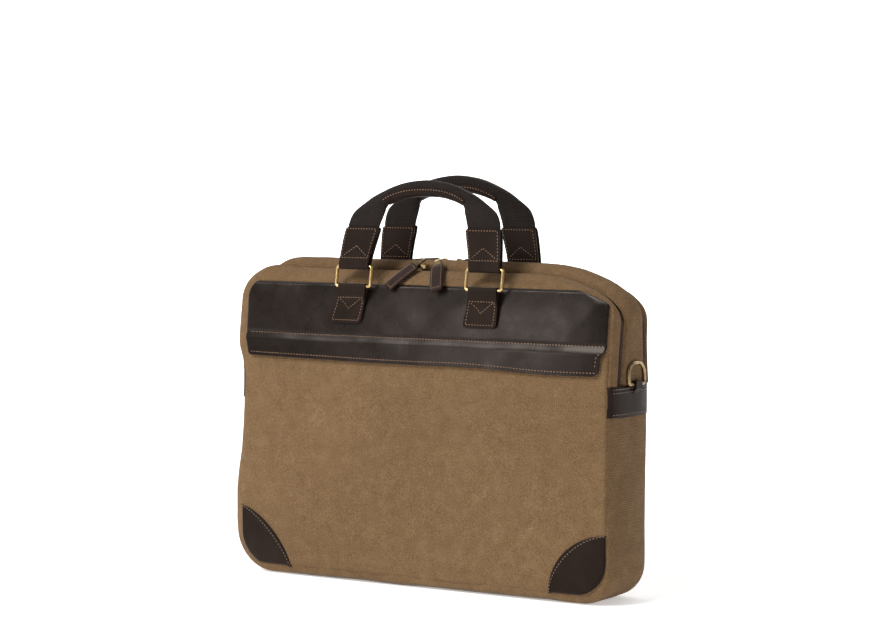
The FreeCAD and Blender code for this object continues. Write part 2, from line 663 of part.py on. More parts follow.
def slider_and_pull(side, name, x):
    """A slider astride one zip with a wire bail, and the pull that hangs on the bail."""
    pivot = pull_pivot(side, x)
    way = pull_direction(side, name)
    axis = pull_axis(side, name)
    label = f"{side.name}_{name}"

    block = doc.addObject("Part::Box", f"slider_block_{label}")
    bind(block, "Length", dim.slider_length)
    bind(block, "Width", dim.slider_width)
    bind(block, "Height", dim.slider_thick)
    turn = Rotation(Vector(1, 0, 0), side.way * side.tilt.value)
    low = side.world(x, zip_line(side), dim.slider_low.value)
    corner = Vector(-dim.slider_length.value / 2, -dim.slider_width.value / 2, 0)
    block.Placement = FreeCAD.Placement(low + turn.multVec(corner), turn)
    doc.recompute()
    softened = doc.addObject("Part::Fillet", f"slider_soft_{label}")
    softened.Base = block
    upright = [number + 1 for number, edge in enumerate(block.Shape.Edges)
               if abs(edge.Length - dim.slider_thick.value) < 1e-6]
    softened.Edges = [(number, SLIDER_ROUND, SLIDER_ROUND) for number in upright]

    pieces = [softened]
    spread = dim.link_width.value / 2 + dim.post_gap.value
    up = (Vector(0, 0, 1) - axis * axis.z).normalize()
    drop = (pivot.z - low.z - dim.slider_thick.value) / up.z + dim.post_foot.value
    for way_along in (-1, 1):
        post = doc.addObject("Part::Cylinder", f"slider_post_{label}_{way_along + 1}")
        bind(post, "Radius", dim.pull_bar / 2)
        post.Height = drop
        foot = pivot + axis * (way_along * spread) - up * drop
        post.Placement = FreeCAD.Placement(foot, Rotation(Vector(0, 0, 1), up))
        pieces.append(post)
    bail = doc.addObject("Part::Cylinder", f"slider_bail_{label}")
    bind(bail, "Radius", dim.pull_bar / 2)
    bail.Height = spread * 2
    bail.Placement = FreeCAD.Placement(pivot - axis * spread, Rotation(Vector(0, 0, 1), axis))
    pieces.append(bail)
    slider = doc.addObject("Part::MultiFuse", f"slider_{label}")
    slider.Label = f"slider_{label}"
    slider.Shapes = pieces
    nodes.append(slider)

    normal = way.cross(axis)
    frame = FreeCAD.Placement(pivot, Rotation(way, axis, normal, "XYZ"))
    link = new_body(f"pull_link_{label}", frame)
    thick = dim.link_thick / 2
    half = dim.link_width / 2
    extrude(link, "plate", "XY_Plane", -thick, thick, box_outline(0, dim.link_length, -half, half))
    extrude(link, "barrel", "XZ_Plane", -half, half, circle=(0, 0, dim.pull_bore + dim.link_thick))
    extrude(link, "bore", "XZ_Plane", -half * 2, half * 2, circle=(0, 0, dim.pull_bore), cut=True)

    tab = new_body(f"pull_{label}", frame)
    thick, half = dim.pull_thick / 2, dim.pull_width / 2
    extrude(tab, "leather", "XY_Plane", -thick, thick, [
        (dim.link_length, -half, 2), (dim.pull_reach, -half, 1.5),
        (dim.pull_reach, half, 1.5), (dim.link_length, half, 2)])


# --- the whole bag ----------------------------------------------------------------------------

def build():
    lower_gusset()
    middle_gusset()
    corner_patches()
    side_bands()
    ring_chapes()
    inside_pieces()
    sleeve_strap()
    yoke()
    flap()
    pocket_zip()
    side_rings()
    for side, sliders in ((FRONT, FRONT_SLIDERS), (BACK, BACK_SLIDERS)):
        lower_panel(side)
        upper_panel(side)
        gusset_strip(side)
        inner_tape(side)
        outer_tape(side)
        handle_tabs(side)
        handle_rings(side)
        handle(side)
        for name, x in sliders.items():
            slider_and_pull(side, name, x)
    doc.recompute()


def check():
    for item in doc.Objects:
        if "Invalid" in item.State or "Error" in item.State:
            raise RuntimeError(f"{item.Name} failed: {item.State}")
    for node in nodes:
        if node.Shape.isNull() or not node.Shape.isValid() or not node.Shape.Solids:
            raise RuntimeError(f"{node.Label} has no valid solid")


def write():
    os.makedirs("parts", exist_ok=True)
    for node in nodes:
        node.Shape.exportStep(f"parts/{node.Label}.step")
        box = node.Shape.BoundBox
        print(f"{node.Label:28s} {len(node.Shape.Solids)} solid(s) "
              f"x {box.XMin:.1f}..{box.XMax:.1f} y {box.YMin:.1f}..{box.YMax:.1f} "
              f"z {box.ZMin:.1f}..{box.ZMax:.1f} volume {node.Shape.Volume:.0f}")


def report_places():
    """Print the world places that the joints turn on."""
    for side, sliders in ((FRONT, FRONT_SLIDERS), (BACK, BACK_SLIDERS)):
        print(side.name, "lower bar", lower_bar(side), "upper bar", upper_bar(side))
        for name, x in sliders.items():
            way = pull_direction(side, name)
            print(side.name, name, "pull pivot", pull_pivot(side, x), "way", way,
                  "axis", pull_axis(side, name))
    print("flap edge", FRONT.world(0, -dim.flap_out.value, dim.flap_top.value + dim.grip_play.value))


build()
check()
write()
report_places()
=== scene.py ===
import json
import math

import bmesh
import bpy
import numpy as np
from mathutils import Matrix, Vector, noise


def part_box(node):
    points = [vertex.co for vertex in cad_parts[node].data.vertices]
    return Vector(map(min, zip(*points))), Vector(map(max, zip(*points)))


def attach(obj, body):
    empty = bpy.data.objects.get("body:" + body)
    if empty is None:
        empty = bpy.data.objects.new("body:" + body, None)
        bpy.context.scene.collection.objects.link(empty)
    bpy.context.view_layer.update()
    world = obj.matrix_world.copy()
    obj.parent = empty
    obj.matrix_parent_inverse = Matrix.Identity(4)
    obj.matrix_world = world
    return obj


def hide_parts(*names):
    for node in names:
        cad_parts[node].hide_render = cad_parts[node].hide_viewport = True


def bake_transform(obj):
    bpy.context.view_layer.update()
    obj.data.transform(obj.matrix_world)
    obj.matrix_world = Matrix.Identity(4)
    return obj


# The looks of a canvas and leather satchel: cloth skins with turned seams, leather with
# stitching, folded webbing handles and zips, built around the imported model.
# Lengths are in millimetres in this script and become metres when a mesh is made.

MM = 0.001
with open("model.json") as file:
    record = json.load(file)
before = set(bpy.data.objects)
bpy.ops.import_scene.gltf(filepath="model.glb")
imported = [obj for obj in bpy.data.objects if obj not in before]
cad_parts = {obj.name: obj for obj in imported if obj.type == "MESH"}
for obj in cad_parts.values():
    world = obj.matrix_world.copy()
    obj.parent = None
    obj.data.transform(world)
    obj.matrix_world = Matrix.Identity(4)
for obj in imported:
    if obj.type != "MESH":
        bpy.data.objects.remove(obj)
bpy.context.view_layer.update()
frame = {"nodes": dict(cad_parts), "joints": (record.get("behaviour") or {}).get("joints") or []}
joints = {entry["name"]: entry for entry in frame["joints"]}


def span(node):
    """Lowest and highest corners of a CAD node, in millimetres."""
    low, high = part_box(node)
    return np.array(low) / MM, np.array(high) / MM


def pivot(joint):
    return np.array(joints[joint]["pos_m"]) / MM


# --- sizes taken from the frame ---------------------------------------------------------------

panel_low, panel_high = span("front_panel_lower")
upper_low, upper_high = span("front_panel_upper")
back_low, back_high = span("back_panel_upper")
CLOTH = panel_high[1] - panel_low[1]
HALF = panel_high[0]                                  # half the width of a panel
FRONT_Y = pivot("front_opening")[1]                   # outer face of the front, at its fold
BACK_Y = pivot("back_opening")[1]
FOLD_Z = pivot("front_opening")[2]
CORNER = 31.0
FRONT_LEAN = math.atan2(upper_high[1] - upper_low[1] - CLOTH, upper_high[2] - FOLD_Z)
BACK_LEAN = math.atan2(back_high[1] - back_low[1] - CLOTH, back_high[2] - FOLD_Z)
FRONT_SEAM_Z = upper_high[2]
BACK_SEAM_Z = back_high[2]
ZIP_HALF = span("zip_front_tape_outer")[1][0]
ZIP_TOP = span("gusset_front_strip")[1][2] - FOLD_Z
FLAP_Z = pivot("flap_lift")[2]
FLAP_LOW = span("flap")[0][2]
BAND_LOW, BAND_HIGH = span("side_bands")[0][2], span("side_bands")[1][2]
BAG_MIDDLE = np.array([0.0, 0.0, 150.0])


# --- materials --------------------------------------------------------------------------------

class Nodes:
    """A short way to write a material's node tree."""

    def __init__(self, name, color, roughness, metallic=0.0):
        self.material = bpy.data.materials.new(name)
        self.material.use_nodes = True
        self.tree = self.material.node_tree
        self.shader = self.tree.nodes["Principled BSDF"]
        self.surface({"Base Color": color, "Roughness": roughness, "Metallic": metallic})

    def feed(self, node, values):
        """Link or set inputs of a node, by name or number; a colour may leave out its alpha."""
        for key, value in values.items():
            socket = node.inputs[key]
            if isinstance(value, bpy.types.NodeSocket):
                self.tree.links.new(value, socket)
            elif socket.type == "RGBA" and len(value) == 3:
                socket.default_value = (*value, 1)
            else:
                socket.default_value = value
        return node

    def surface(self, values):
        self.feed(self.shader, values)

    def add(self, kind, values, output=0, **settings):
        """Add a node, feed its inputs and return one of its outputs."""
        made = self.tree.nodes.new("ShaderNode" + kind)
        for key, value in settings.items():
            setattr(made, key, value)
        return self.feed(made, values).outputs[output]

    def place(self, kind="Object", scale=(1, 1, 1), rotation=(0, 0, 0)):
        source = self.add("TexCoord", {}, kind)
        return self.add("Mapping", {"Vector": source, "Scale": scale, "Rotation": rotation})

    def noise(self, vector, scale, detail=4.0, roughness=0.55, distortion=0.0):
        return self.add("TexNoise", {"Vector": vector, "Scale": scale, "Detail": detail,
                                     "Roughness": roughness, "Distortion": distortion}, "Fac")

    def wave(self, vector, scale, direction, distortion=0.0):
        return self.add("TexWave", {"Vector": vector, "Scale": scale, "Distortion": distortion,
                                    "Detail": 1.0}, "Fac", wave_type="BANDS",
                        bands_direction=direction)

    def ramp(self, value, stops):
        made = self.tree.nodes.new("ShaderNodeValToRGB")
        elements = made.color_ramp.elements
        while len(elements) < len(stops):
            elements.new(0.5)
        for element, (position, color) in zip(elements, stops):
            element.position = position
            element.color = (*color, 1)
        return self.feed(made, {"Fac": value}).outputs["Color"]

    def math(self, operation, one, other):
        return self.add("Math", {0: one, 1: other}, operation=operation)

    def mix(self, factor, one, other, kind="MIX"):
        factor_at, one_at, other_at, color_out = 0, 6, 7, 2
        return self.add("Mix", {factor_at: factor, one_at: one, other_at: other}, color_out,
                        data_type="RGBA", blend_type=kind)

    def span_value(self, value, low, high):
        return self.add("MapRange", {"Value": value, "To Min": low, "To Max": high})

    def bump(self, *layers):
        """Stack bump layers, each a height, a strength and a depth in metres."""
        under = {}
        for height, strength, depth in layers:
            normal = self.add("Bump", {"Height": height, "Strength": strength,
                                       "Distance": depth, **under})
            under = {"Normal": normal}
        self.surface(under)


def canvas_material():
    """Washed cotton canvas: plain weave, mottled dye and pale creases where it has been folded."""
    made = Nodes("canvas", (0.23, 0.145, 0.078), 0.92)
    made.surface({"Sheen Weight": 0.03, "Sheen Roughness": 0.6, "Specular IOR Level": 0.06})
    place = made.place("Object")
    threads = made.place("UV")
    mottle = made.noise(place, 75, 7, 0.68)
    cloud = made.noise(place, 9, 3, 0.5)
    fleck = made.noise(place, 900, 3, 0.75)
    base = made.ramp(mottle, [
        (0.30, (0.136, 0.080, 0.038)), (0.52, (0.158, 0.095, 0.047)),
        (0.74, (0.186, 0.116, 0.060))])
    shade = made.ramp(cloud, [(0.30, (0.94, 0.93, 0.92)), (0.70, (1.05, 1.05, 1.04))])
    color = made.mix(1.0, base, shade, "MULTIPLY")
    speck = made.ramp(fleck, [(0.36, (0.62, 0.60, 0.58)), (0.64, (1.44, 1.47, 1.50))])
    color = made.mix(0.70, color, speck, "MULTIPLY")
    crease_place = made.place("Object", scale=(1.0, 1.0, 0.7), rotation=(0, 0.5, 0))
    fold = made.noise(crease_place, 11, 3, 0.45, 0.9)
    ridge = made.math("ABSOLUTE", made.math("SUBTRACT", fold, 0.5), 0)
    thin = made.ramp(ridge, [(0.0, (1, 1, 1)), (0.011, (0, 0, 0))])
    patchy = made.ramp(made.noise(place, 14, 2), [(0.48, (0, 0, 0)), (0.64, (1, 1, 1))])
    worn = made.math("MULTIPLY", thin, patchy)
    color = made.mix(made.math("MULTIPLY", worn, 0.07), color, (0.40, 0.29, 0.19))
    made.surface({"Base Color": color})
    warp = made.wave(threads, 150, "X", 0.6)
    weft = made.wave(threads, 150, "Y", 0.6)
    weave = made.math("ADD", warp, weft)
    made.surface({"Roughness": made.span_value(mottle, 0.84, 0.97)})
    made.bump((cloud, 0.5, 0.0016), (mottle, 0.45, 0.0007), (weave, 0.55, 0.00028),
              (worn, 0.25, 0.0004))
    return made.material


def leather_material(name, color, roughness=0.42, shine=0.12, grain=1.0):
    """Smooth oiled leather: fine grain, faint mottling and a soft shine."""
    made = Nodes(name, color, roughness)
    made.surface({"Specular IOR Level": shine, "Specular Tint": (1.0, 0.86, 0.76)})
    place = made.place("Object")
    cloud = made.noise(place, 26, 4, 0.55)
    dark = tuple(part * 0.80 for part in color)
    light = tuple(min(1, part * 1.28 + 0.002) for part in color)
    made.surface({"Base Color": made.ramp(cloud, [(0.32, dark), (0.70, light)])})
    cells = made.add("TexVoronoi", {"Vector": place, "Scale": 900}, "Distance",
                     feature="DISTANCE_TO_EDGE")
    pores = made.span_value(cells, 0.0, 1.0)
    rub = made.noise(place, 85, 5, 0.65)
    made.surface({"Roughness": made.span_value(rub, roughness - 0.09, roughness + 0.13)})
    made.bump((cloud, 0.35, 0.0009), (rub, 0.22 * grain, 0.0003), (pores, 0.20 * grain, 0.00012))
    return made.material


def webbing_material():
    """Dense cotton webbing: lengthwise ribs crossed by a fine twill."""
    made = Nodes("webbing", (0.022, 0.015, 0.012), 0.86)
    made.surface({"Sheen Weight": 0.10, "Specular IOR Level": 0.15})
    threads = made.place("UV")
    ribs = made.wave(threads, 105, "X", 0.3)
    twill = made.wave(made.place("UV", rotation=(0, 0, 0.9)), 190, "X", 0.5)
    fluff = made.noise(made.place("Object"), 260, 4, 0.7)
    color = made.ramp(fluff, [(0.30, (0.0080, 0.0048, 0.0037)), (0.72, (0.0170, 0.0105, 0.0082))])
    color = made.mix(0.35, color, made.ramp(ribs, [(0.2, (0.6, 0.6, 0.6)), (0.8, (1.2, 1.2, 1.2))]),
                     "MULTIPLY")
    made.surface({"Base Color": color})
    made.bump((ribs, 0.55, 0.00035), (twill, 0.45, 0.00022), (fluff, 0.3, 0.0002))
    return made.material


def metal_material(name, color, dark, roughness):
    """Plated brass with light tarnish in patches."""
    made = Nodes(name, color, roughness, 1.0)
    place = made.place("Object")
    tarnish = made.noise(place, 160, 5, 0.6)
    made.surface({"Base Color": made.ramp(tarnish, [(0.36, dark), (0.60, color)])})
    made.surface({"Roughness": made.span_value(tarnish, roughness + 0.14, roughness - 0.04)})
    made.bump((made.noise(place, 700, 3, 0.6), 0.12, 0.00008))
    return made.material


def woven_material(name, color, scale, roughness=0.85):
    """A plain woven cloth, for the tapes of the zips, the lining and the thread."""
    made = Nodes(name, color, roughness)
    place = made.place("Object")
    across = made.wave(place, scale, "DIAGONAL", 0.5)
    spread = made.noise(place, 120, 4, 0.6)
    dark = tuple(part * 0.72 for part in color)
    light = tuple(min(1, part * 1.30) for part in color)
    made.surface({"Base Color": made.ramp(spread, [(0.30, dark), (0.70, light)])})
    made.bump((across, 0.4, 0.0002), (spread, 0.25, 0.0003))
    return made.material


MATERIALS = {
    "canvas": canvas_material(),
    "leather": leather_material("leather", (0.0092, 0.0058, 0.0046), 0.27, 0.22),
    "leather_dark": leather_material("leather_dark", (0.0145, 0.0088, 0.0066), 0.42, 0.07),
    "pull_leather": leather_material("pull_leather", (0.022, 0.012, 0.009), 0.42),
    "webbing": webbing_material(),
    "gilt": metal_material("gilt", (0.72, 0.50, 0.22), (0.50, 0.33, 0.13), 0.24),
    "antique_brass": metal_material("antique_brass", (0.36, 0.26, 0.13), (0.12, 0.085, 0.05), 0.30),
    "zip_tape": woven_material("zip_tape", (0.066, 0.028, 0.014), 420),
    "zip_coil": woven_material("zip_coil", (0.075, 0.036, 0.018), 900, 0.5),
    "lining": woven_material("lining", (0.090, 0.072, 0.055), 300),
    "thread": woven_material("thread", (0.27, 0.155, 0.092), 1500, 0.7),
    "thread_pale": woven_material("thread_pale", (0.20, 0.150, 0.110), 1500, 0.7),
    "board": woven_material("board", (0.10, 0.085, 0.065), 200, 0.9),
}


# --- making meshes ----------------------------------------------------------------------------

def add_object(name, data):
    made = bpy.data.objects.new(name, data)
    bpy.context.scene.collection.objects.link(made)
    return made


def make_mesh(name, points, faces, material, uv=None, smooth=True):
    """A mesh object from points in millimetres; uv holds one pair of metres for each point."""
    mesh = bpy.data.meshes.new(name)
    mesh.from_pydata([tuple(point) for point in np.asarray(points, float) * MM], [],
                     [tuple(int(number) for number in face) for face in faces])
    if uv is not None:
        layer = mesh.uv_layers.new(name="UVMap")
        corners = np.empty(len(mesh.loops), np.int32)
        mesh.loops.foreach_get("vertex_index", corners)
        layer.data.foreach_set("uv", np.asarray(uv, np.float32)[corners].ravel())
    mesh.polygons.foreach_set("use_smooth", [smooth] * len(mesh.polygons))
    mesh.materials.append(MATERIALS[material])
    mesh.validate()
    mesh.update()
    return add_object(name, mesh)


def dress(piece, slot, body, *nodes):
    """Hang a piece on the body it rides on and hide the CAD nodes it stands for; slot is not used.
    """
    if nodes:
        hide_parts(*nodes)
    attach(piece, body)


def grid_normals(grid):
    """Unit normals of a grid of points, shaped (rows, columns, 3)."""
    normal = np.cross(np.gradient(grid, axis=1), np.gradient(grid, axis=0))
    length = np.linalg.norm(normal, axis=2, keepdims=True)
    return normal / np.maximum(length, 1e-9)


def grid_lengths(grid):
    """Distances along a grid's columns and rows, in metres: the flat pattern of its weave."""
    across = np.linalg.norm(np.diff(grid, axis=1), axis=2).mean(axis=0)
    along = np.linalg.norm(np.diff(grid, axis=0), axis=2).mean(axis=1)
    u = np.concatenate([[0], np.cumsum(across)])
    v = np.concatenate([[0], np.cumsum(along)])
    u, v = np.meshgrid(u, v)
    return np.stack([u, v], axis=2) * MM


def grid_shell(name, grid, thick, material, inside):
    """A closed sheet of even thickness whose outer face is the grid, facing away from inside."""
    rows, columns = grid.shape[:2]
    normal = grid_normals(grid)
    if np.sum(normal * (grid - np.asarray(inside, float))) < 0:
        grid = grid[:, ::-1]
        normal = -normal[:, ::-1]
    inner = grid - normal * thick
    points = np.concatenate([grid.reshape(-1, 3), inner.reshape(-1, 3)])
    flat = grid_lengths(grid).reshape(-1, 2)
    index = np.arange(rows * columns).reshape(rows, columns)
    far = rows * columns
    faces = []
    for r in range(rows - 1):
        for c in range(columns - 1):
            quad = (index[r, c], index[r + 1, c], index[r + 1, c + 1], index[r, c + 1])
            faces.append(quad)
            faces.append(tuple(far + number for number in quad[::-1]))
    for one, two in rim_edges(index):
        faces.append((one, two, two + far, one + far))
    return make_mesh(name, points, faces, material, np.concatenate([flat, flat]))


def closed_sheets(name, one, two, material):
    """A closed piece between two grids of the same shape, joined round their edges."""
    rows, columns = one.shape[:2]
    index = np.arange(rows * columns).reshape(rows, columns)
    far = rows * columns
    faces = []
    for r in range(rows - 1):
        for c in range(columns - 1):
            quad = (index[r, c], index[r, c + 1], index[r + 1, c + 1], index[r + 1, c])
            faces += [quad, tuple(far + number for number in quad[::-1])]
    faces += [(one_end, one_end + far, next_end + far, next_end)
              for one_end, next_end in rim_edges(index)]
    points = np.concatenate([one.reshape(-1, 3), two.reshape(-1, 3)])
    made = make_mesh(name, points, faces, material)
    make_normals_point_out(made)
    return made


def make_normals_point_out(piece):
    editing = bmesh.new()
    editing.from_mesh(piece.data)
    bmesh.ops.recalc_face_normals(editing, faces=editing.faces)
    editing.to_mesh(piece.data)
    editing.free()


def rim_edges(index):
    """Pairs of neighbours round the edge of a grid of point numbers."""
    rim = list(index[0]) + list(index[1:, -1]) + list(index[-1, -2::-1]) + list(index[-2:0:-1, 0])
    return list(zip(rim, rim[1:] + rim[:1]))


def wobble(points, scale, height, seed=0.0):
    """Smooth noise at each point, between plus and minus height, for soft unevenness."""
    flat = np.asarray(points, float).reshape(-1, 3)
    values = [noise.noise(Vector(point) / scale + Vector((seed, seed * 1.7, 0))) for point in flat]
    return (np.array(values) * height).reshape(np.asarray(points).shape[:-1])


def resample(points, step, closed=False):
    """Points at even steps along a line, with the directions there."""
    line = np.asarray(points, float)
    if closed:
        line = np.concatenate([line, line[:1]])
    lengths = lengths_along(line)
    count = max(2, int(round(lengths[-1] / step)))
    at = (np.arange(count) + 0.5) * lengths[-1] / count
    placed = np.stack([np.interp(at, lengths, line[:, axis]) for axis in range(3)], axis=1)
    ahead, before = (
        np.stack([np.interp(at + way * step / 3, lengths, line[:, axis]) for axis in range(3)],
                 axis=1) for way in (1, -1))
    way = ahead - before
    return placed, way / np.maximum(np.linalg.norm(way, axis=1, keepdims=True), 1e-9)


class Thread:
    """Collects stitches for one body and makes them as one piece."""

    RINGS = ((-1.0, 0.25), (-0.75, 0.8), (0.0, 1.0), (0.75, 0.8), (1.0, 0.25))
    SIDES = 6

    def __init__(self, name, body, material="thread"):
        self.name, self.body, self.material = name, body, material
        self.points, self.faces = [], []

    def run(self, line, normal, pitch=3.3, length=1.9, radius=0.42, closed=False):
        """Stitches along a line; normal is one direction or one for each stitch's place."""
        placed, way = resample(line, pitch, closed)
        normal = np.broadcast_to(np.asarray(normal, float), placed.shape)
        for place, forward, up in zip(placed, way, normal):
            side = np.cross(forward, up)
            side = side / max(np.linalg.norm(side), 1e-9)
            forward = forward + side * 0.10
            self.stitch(place, forward / np.linalg.norm(forward), side, up, length, radius)

    def stitch(self, place, forward, side, up, length, radius):
        start = len(self.points)
        for along, size in self.RINGS:
            lift = up * (0.25 - 0.45 * along * along) * radius
            for step in range(self.SIDES):
                angle = 2 * math.pi * step / self.SIDES
                spoke = side * math.cos(angle) + up * math.sin(angle) * 0.8
                self.points.append(place + forward * along * length / 2 + lift
                                   + spoke * size * radius)
        count = len(self.RINGS)
        for ring in range(count - 1):
            for step in range(self.SIDES):
                one = start + ring * self.SIDES + step
                two = start + ring * self.SIDES + (step + 1) % self.SIDES
                self.faces.append((one, one + self.SIDES, two + self.SIDES, two))
        self.faces.append(tuple(start + step for step in range(self.SIDES)))
        last = start + (count - 1) * self.SIDES
        self.faces.append(tuple(last + step for step in reversed(range(self.SIDES))))

    def finish(self):
        dress(make_mesh(self.name, self.points, self.faces, self.material), "leather", self.body)


# --- outlines ---------------------------------------------------------------------------------

SLOPE = 1.45            # how a sharp corner's slope bends: 1 is straight


def arch_outline(half, top, left, right, low, counts=(26, 16, 60), sharp=False):
    """Points up the left side, round the top corners and down the right side, in X and Z.

    left and right are each corner's reach across and down, and counts are the points on a side,
    a corner and the top, so that two outlines of the same counts match point for point. A sharp
    right corner slopes down to the side instead of rounding into it.
    """
    side, corner, across = counts
    turn = np.linspace(0, math.pi / 2, corner + 1)[1:-1]
    left_side = [(-half, z) for z in np.linspace(low, top - left[1], side)]
    left_corner = [(-half + left[0] * (1 - math.cos(a)), top - left[1] * (1 - math.sin(a)))
                   for a in turn]
    head = [(x, top) for x in np.linspace(-half + left[0], half - right[0], across)]
    right_corner = [(half - right[0] * (1 - math.sin(a)), top - right[1] * (1 - math.cos(a)))
                    for a in turn]
    if sharp:
        right_corner = [(half - right[0] * share, top - right[1] * (1 - share ** (1 / SLOPE)))
                        for share in np.linspace(1, 0, corner + 1)[1:-1]]
    right_side = [(half, z) for z in np.linspace(top - right[1], low, side)]
    return np.array(left_side + left_corner + head + right_corner + right_side)


def cup_outline(half, foot, radius, high, counts=(40, 16, 70)):
    """Points down the left side, round the bottom corners and up the right side."""
    upside_down = arch_outline(half, -foot, (radius, radius), (radius, radius), -high, counts)
    return upside_down * np.array([1, -1])


def outline_normals(outline):
    """Outward directions of an open outline in X and Z, going to the right over the top."""
    way = np.gradient(outline, axis=0)
    normal = np.stack([-way[:, 1], way[:, 0]], axis=1)
    return normal / np.linalg.norm(normal, axis=1, keepdims=True)


FRONT_SIDE, BACK_SIDE = -1, 1


def leaf_point(side, x, inwards, rise):
    """A place on a folding face, from how far it is across, inwards of and above the fold."""
    lean = FRONT_LEAN if side == FRONT_SIDE else BACK_LEAN
    face = FRONT_Y if side == FRONT_SIDE else BACK_Y
    y = face - side * (inwards * np.cos(lean) + rise * np.sin(lean))
    z = FOLD_Z - inwards * np.sin(lean) + rise * np.cos(lean)
    return np.stack(np.broadcast_arrays(x, y, z), axis=-1)


def smooth_step(value):
    value = np.clip(value, 0, 1)
    return value * value * (3 - 2 * value)


# --- the canvas -------------------------------------------------------------------------------

SEAM_LEFT, SEAM_RIGHT = (15, 16), (33, 13)
ZIP_RIGHT = (104, 44)
ROLL = 2.6            # how far in from a seam the cloth turns under
ROLL_DEPTH = 1.9


def low_share(z):
    """How far down the bag a height is, from none at the fold to all near the foot."""
    return smooth_step((165 - np.asarray(z, float)) / 100)


def face_half(z, foot, top, left, right, spread):
    """Left and right edges of a face at each height, rounded at its four corners."""
    edges = []
    for way, corner, more in ((-1, left, spread[0]), (1, right, spread[1])):
        low = np.clip((foot + CORNER - z) / CORNER, 0, 1)
        high = np.clip((z - top + corner[1]) / corner[1], 0, 1)
        if corner is SEAM_RIGHT:
            upper = corner[0] * high ** SLOPE
        else:
            upper = corner[0] * (1 - np.sqrt(1 - high ** 2))
        inset = CORNER * (1 - np.sqrt(1 - low ** 2)) + upper
        edges.append(way * (HALF - 0.6 - inset + more * low_share(z)))
    return edges


def face_y(side, x, z, foot, top, left, right, spread, bulge):
    """Depth of a face's cloth at a place: the leaning panel, its pillow and its turned edges."""
    lean = FRONT_LEAN if side == FRONT_SIDE else BACK_LEAN
    face = FRONT_Y if side == FRONT_SIDE else BACK_Y
    over = np.maximum(z - FOLD_Z, 0)
    y = face - side * np.tan(lean) * over
    left_edge, right_edge = face_half(z, foot, top, left, right, spread)
    near = np.minimum(np.minimum(x - left_edge, right_edge - x), np.minimum(z - foot, top - z))
    near = np.maximum(near, 0)
    pillow = bulge * (1 - np.exp(-near / 26.0))
    roll = ROLL_DEPTH * (1 - smooth_step(near / ROLL)) ** 1.5
    return y + side * (pillow - roll)


def face_rows(foot, top, corner, count):
    """Heights of a face's rows, closer together round the rounded corners."""
    low = foot + CORNER * (1 - np.cos(np.linspace(0, math.pi / 2, 16)))
    high = top - corner * (1 - np.cos(np.linspace(math.pi / 2, 0, 10)))
    middle = np.linspace(low[-1], high[0], count)[1:-1]
    return np.concatenate([low, middle, high])


def face_columns(count=120):
    """Shares of the width, closer together at the two edges."""
    edge = np.array([0, 0.0022, 0.0045, 0.0068, 0.0095, 0.014, 0.022, 0.034])
    middle = np.linspace(edge[-1], 1 - edge[-1], count)[1:-1]
    return np.concatenate([edge, middle, 1 - edge[::-1]])


FRONT_FACE = dict(foot=8.8, top=FRONT_SEAM_Z, left=SEAM_LEFT, right=SEAM_RIGHT, spread=(3.2, 0.0))
BACK_FACE = dict(foot=8.8, top=BACK_SEAM_Z, left=(28, 26), right=(96, 36), spread=(3.2, -1.5))
PILLOW = 4.2


def face_grid(side, outline, rows, bulge=PILLOW, lift=0.0):
    """A grid over part of a face, lifted off it by lift."""
    z = np.asarray(rows, float)
    left, right = face_half(z, **outline)
    share = face_columns()
    x = left[:, None] + (right - left)[:, None] * share[None, :]
    z = np.broadcast_to(z[:, None], x.shape)
    y = face_y(side, x, z, bulge=bulge, **outline)
    grid = np.stack([x, y + side * lift, z], axis=2)
    grid[..., 1] += side * (wobble(grid, 62, 1.3, side) + wobble(grid, 23, 0.5, side + 3))
    return grid


def canvas_face(name, side, outline, nodes):
    rows = face_rows(outline["foot"], outline["top"], outline["left"][1], 74)
    grid = face_grid(side, outline, rows)
    made = grid_shell(name, grid, 1.2, "canvas", BAG_MIDDLE)
    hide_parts(*nodes)
    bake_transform(made)
    return made


# How far the lower gusset stands out on each side, by height.
RISE_HEIGHTS = (0, 20, 50, 80, 100, 120, 150, 180, 197)
LEFT_RISE = (9, 11.5, 14.5, 14.5, 12, 8, 5.5, 3.4, 3.4)
RIGHT_RISE = (6, 6.5, 6.5, 6, 4.5, 3, 3.2, 3.4, 3.4)


def gusset_rise(way, z, share):
    """How far the lower gusset's cloth stands out between its two seams.

    way is -1 on the left and 1 on the right; share goes from 0 at the front seam to 1 at the back.
    """
    down = 1 - smooth_step((z - FRONT_FACE["foot"]) / CORNER)
    side = np.where(way < 0, np.interp(z, RISE_HEIGHTS, LEFT_RISE),
                    np.interp(z, RISE_HEIGHTS, RIGHT_RISE))
    power = np.where(way < 0, 7.0, 3.0) * (1 - down) + 12 * down
    rise = side * (1 - down) + 8.4 * down
    return rise * (1 - np.abs(2 * share - 1) ** power)


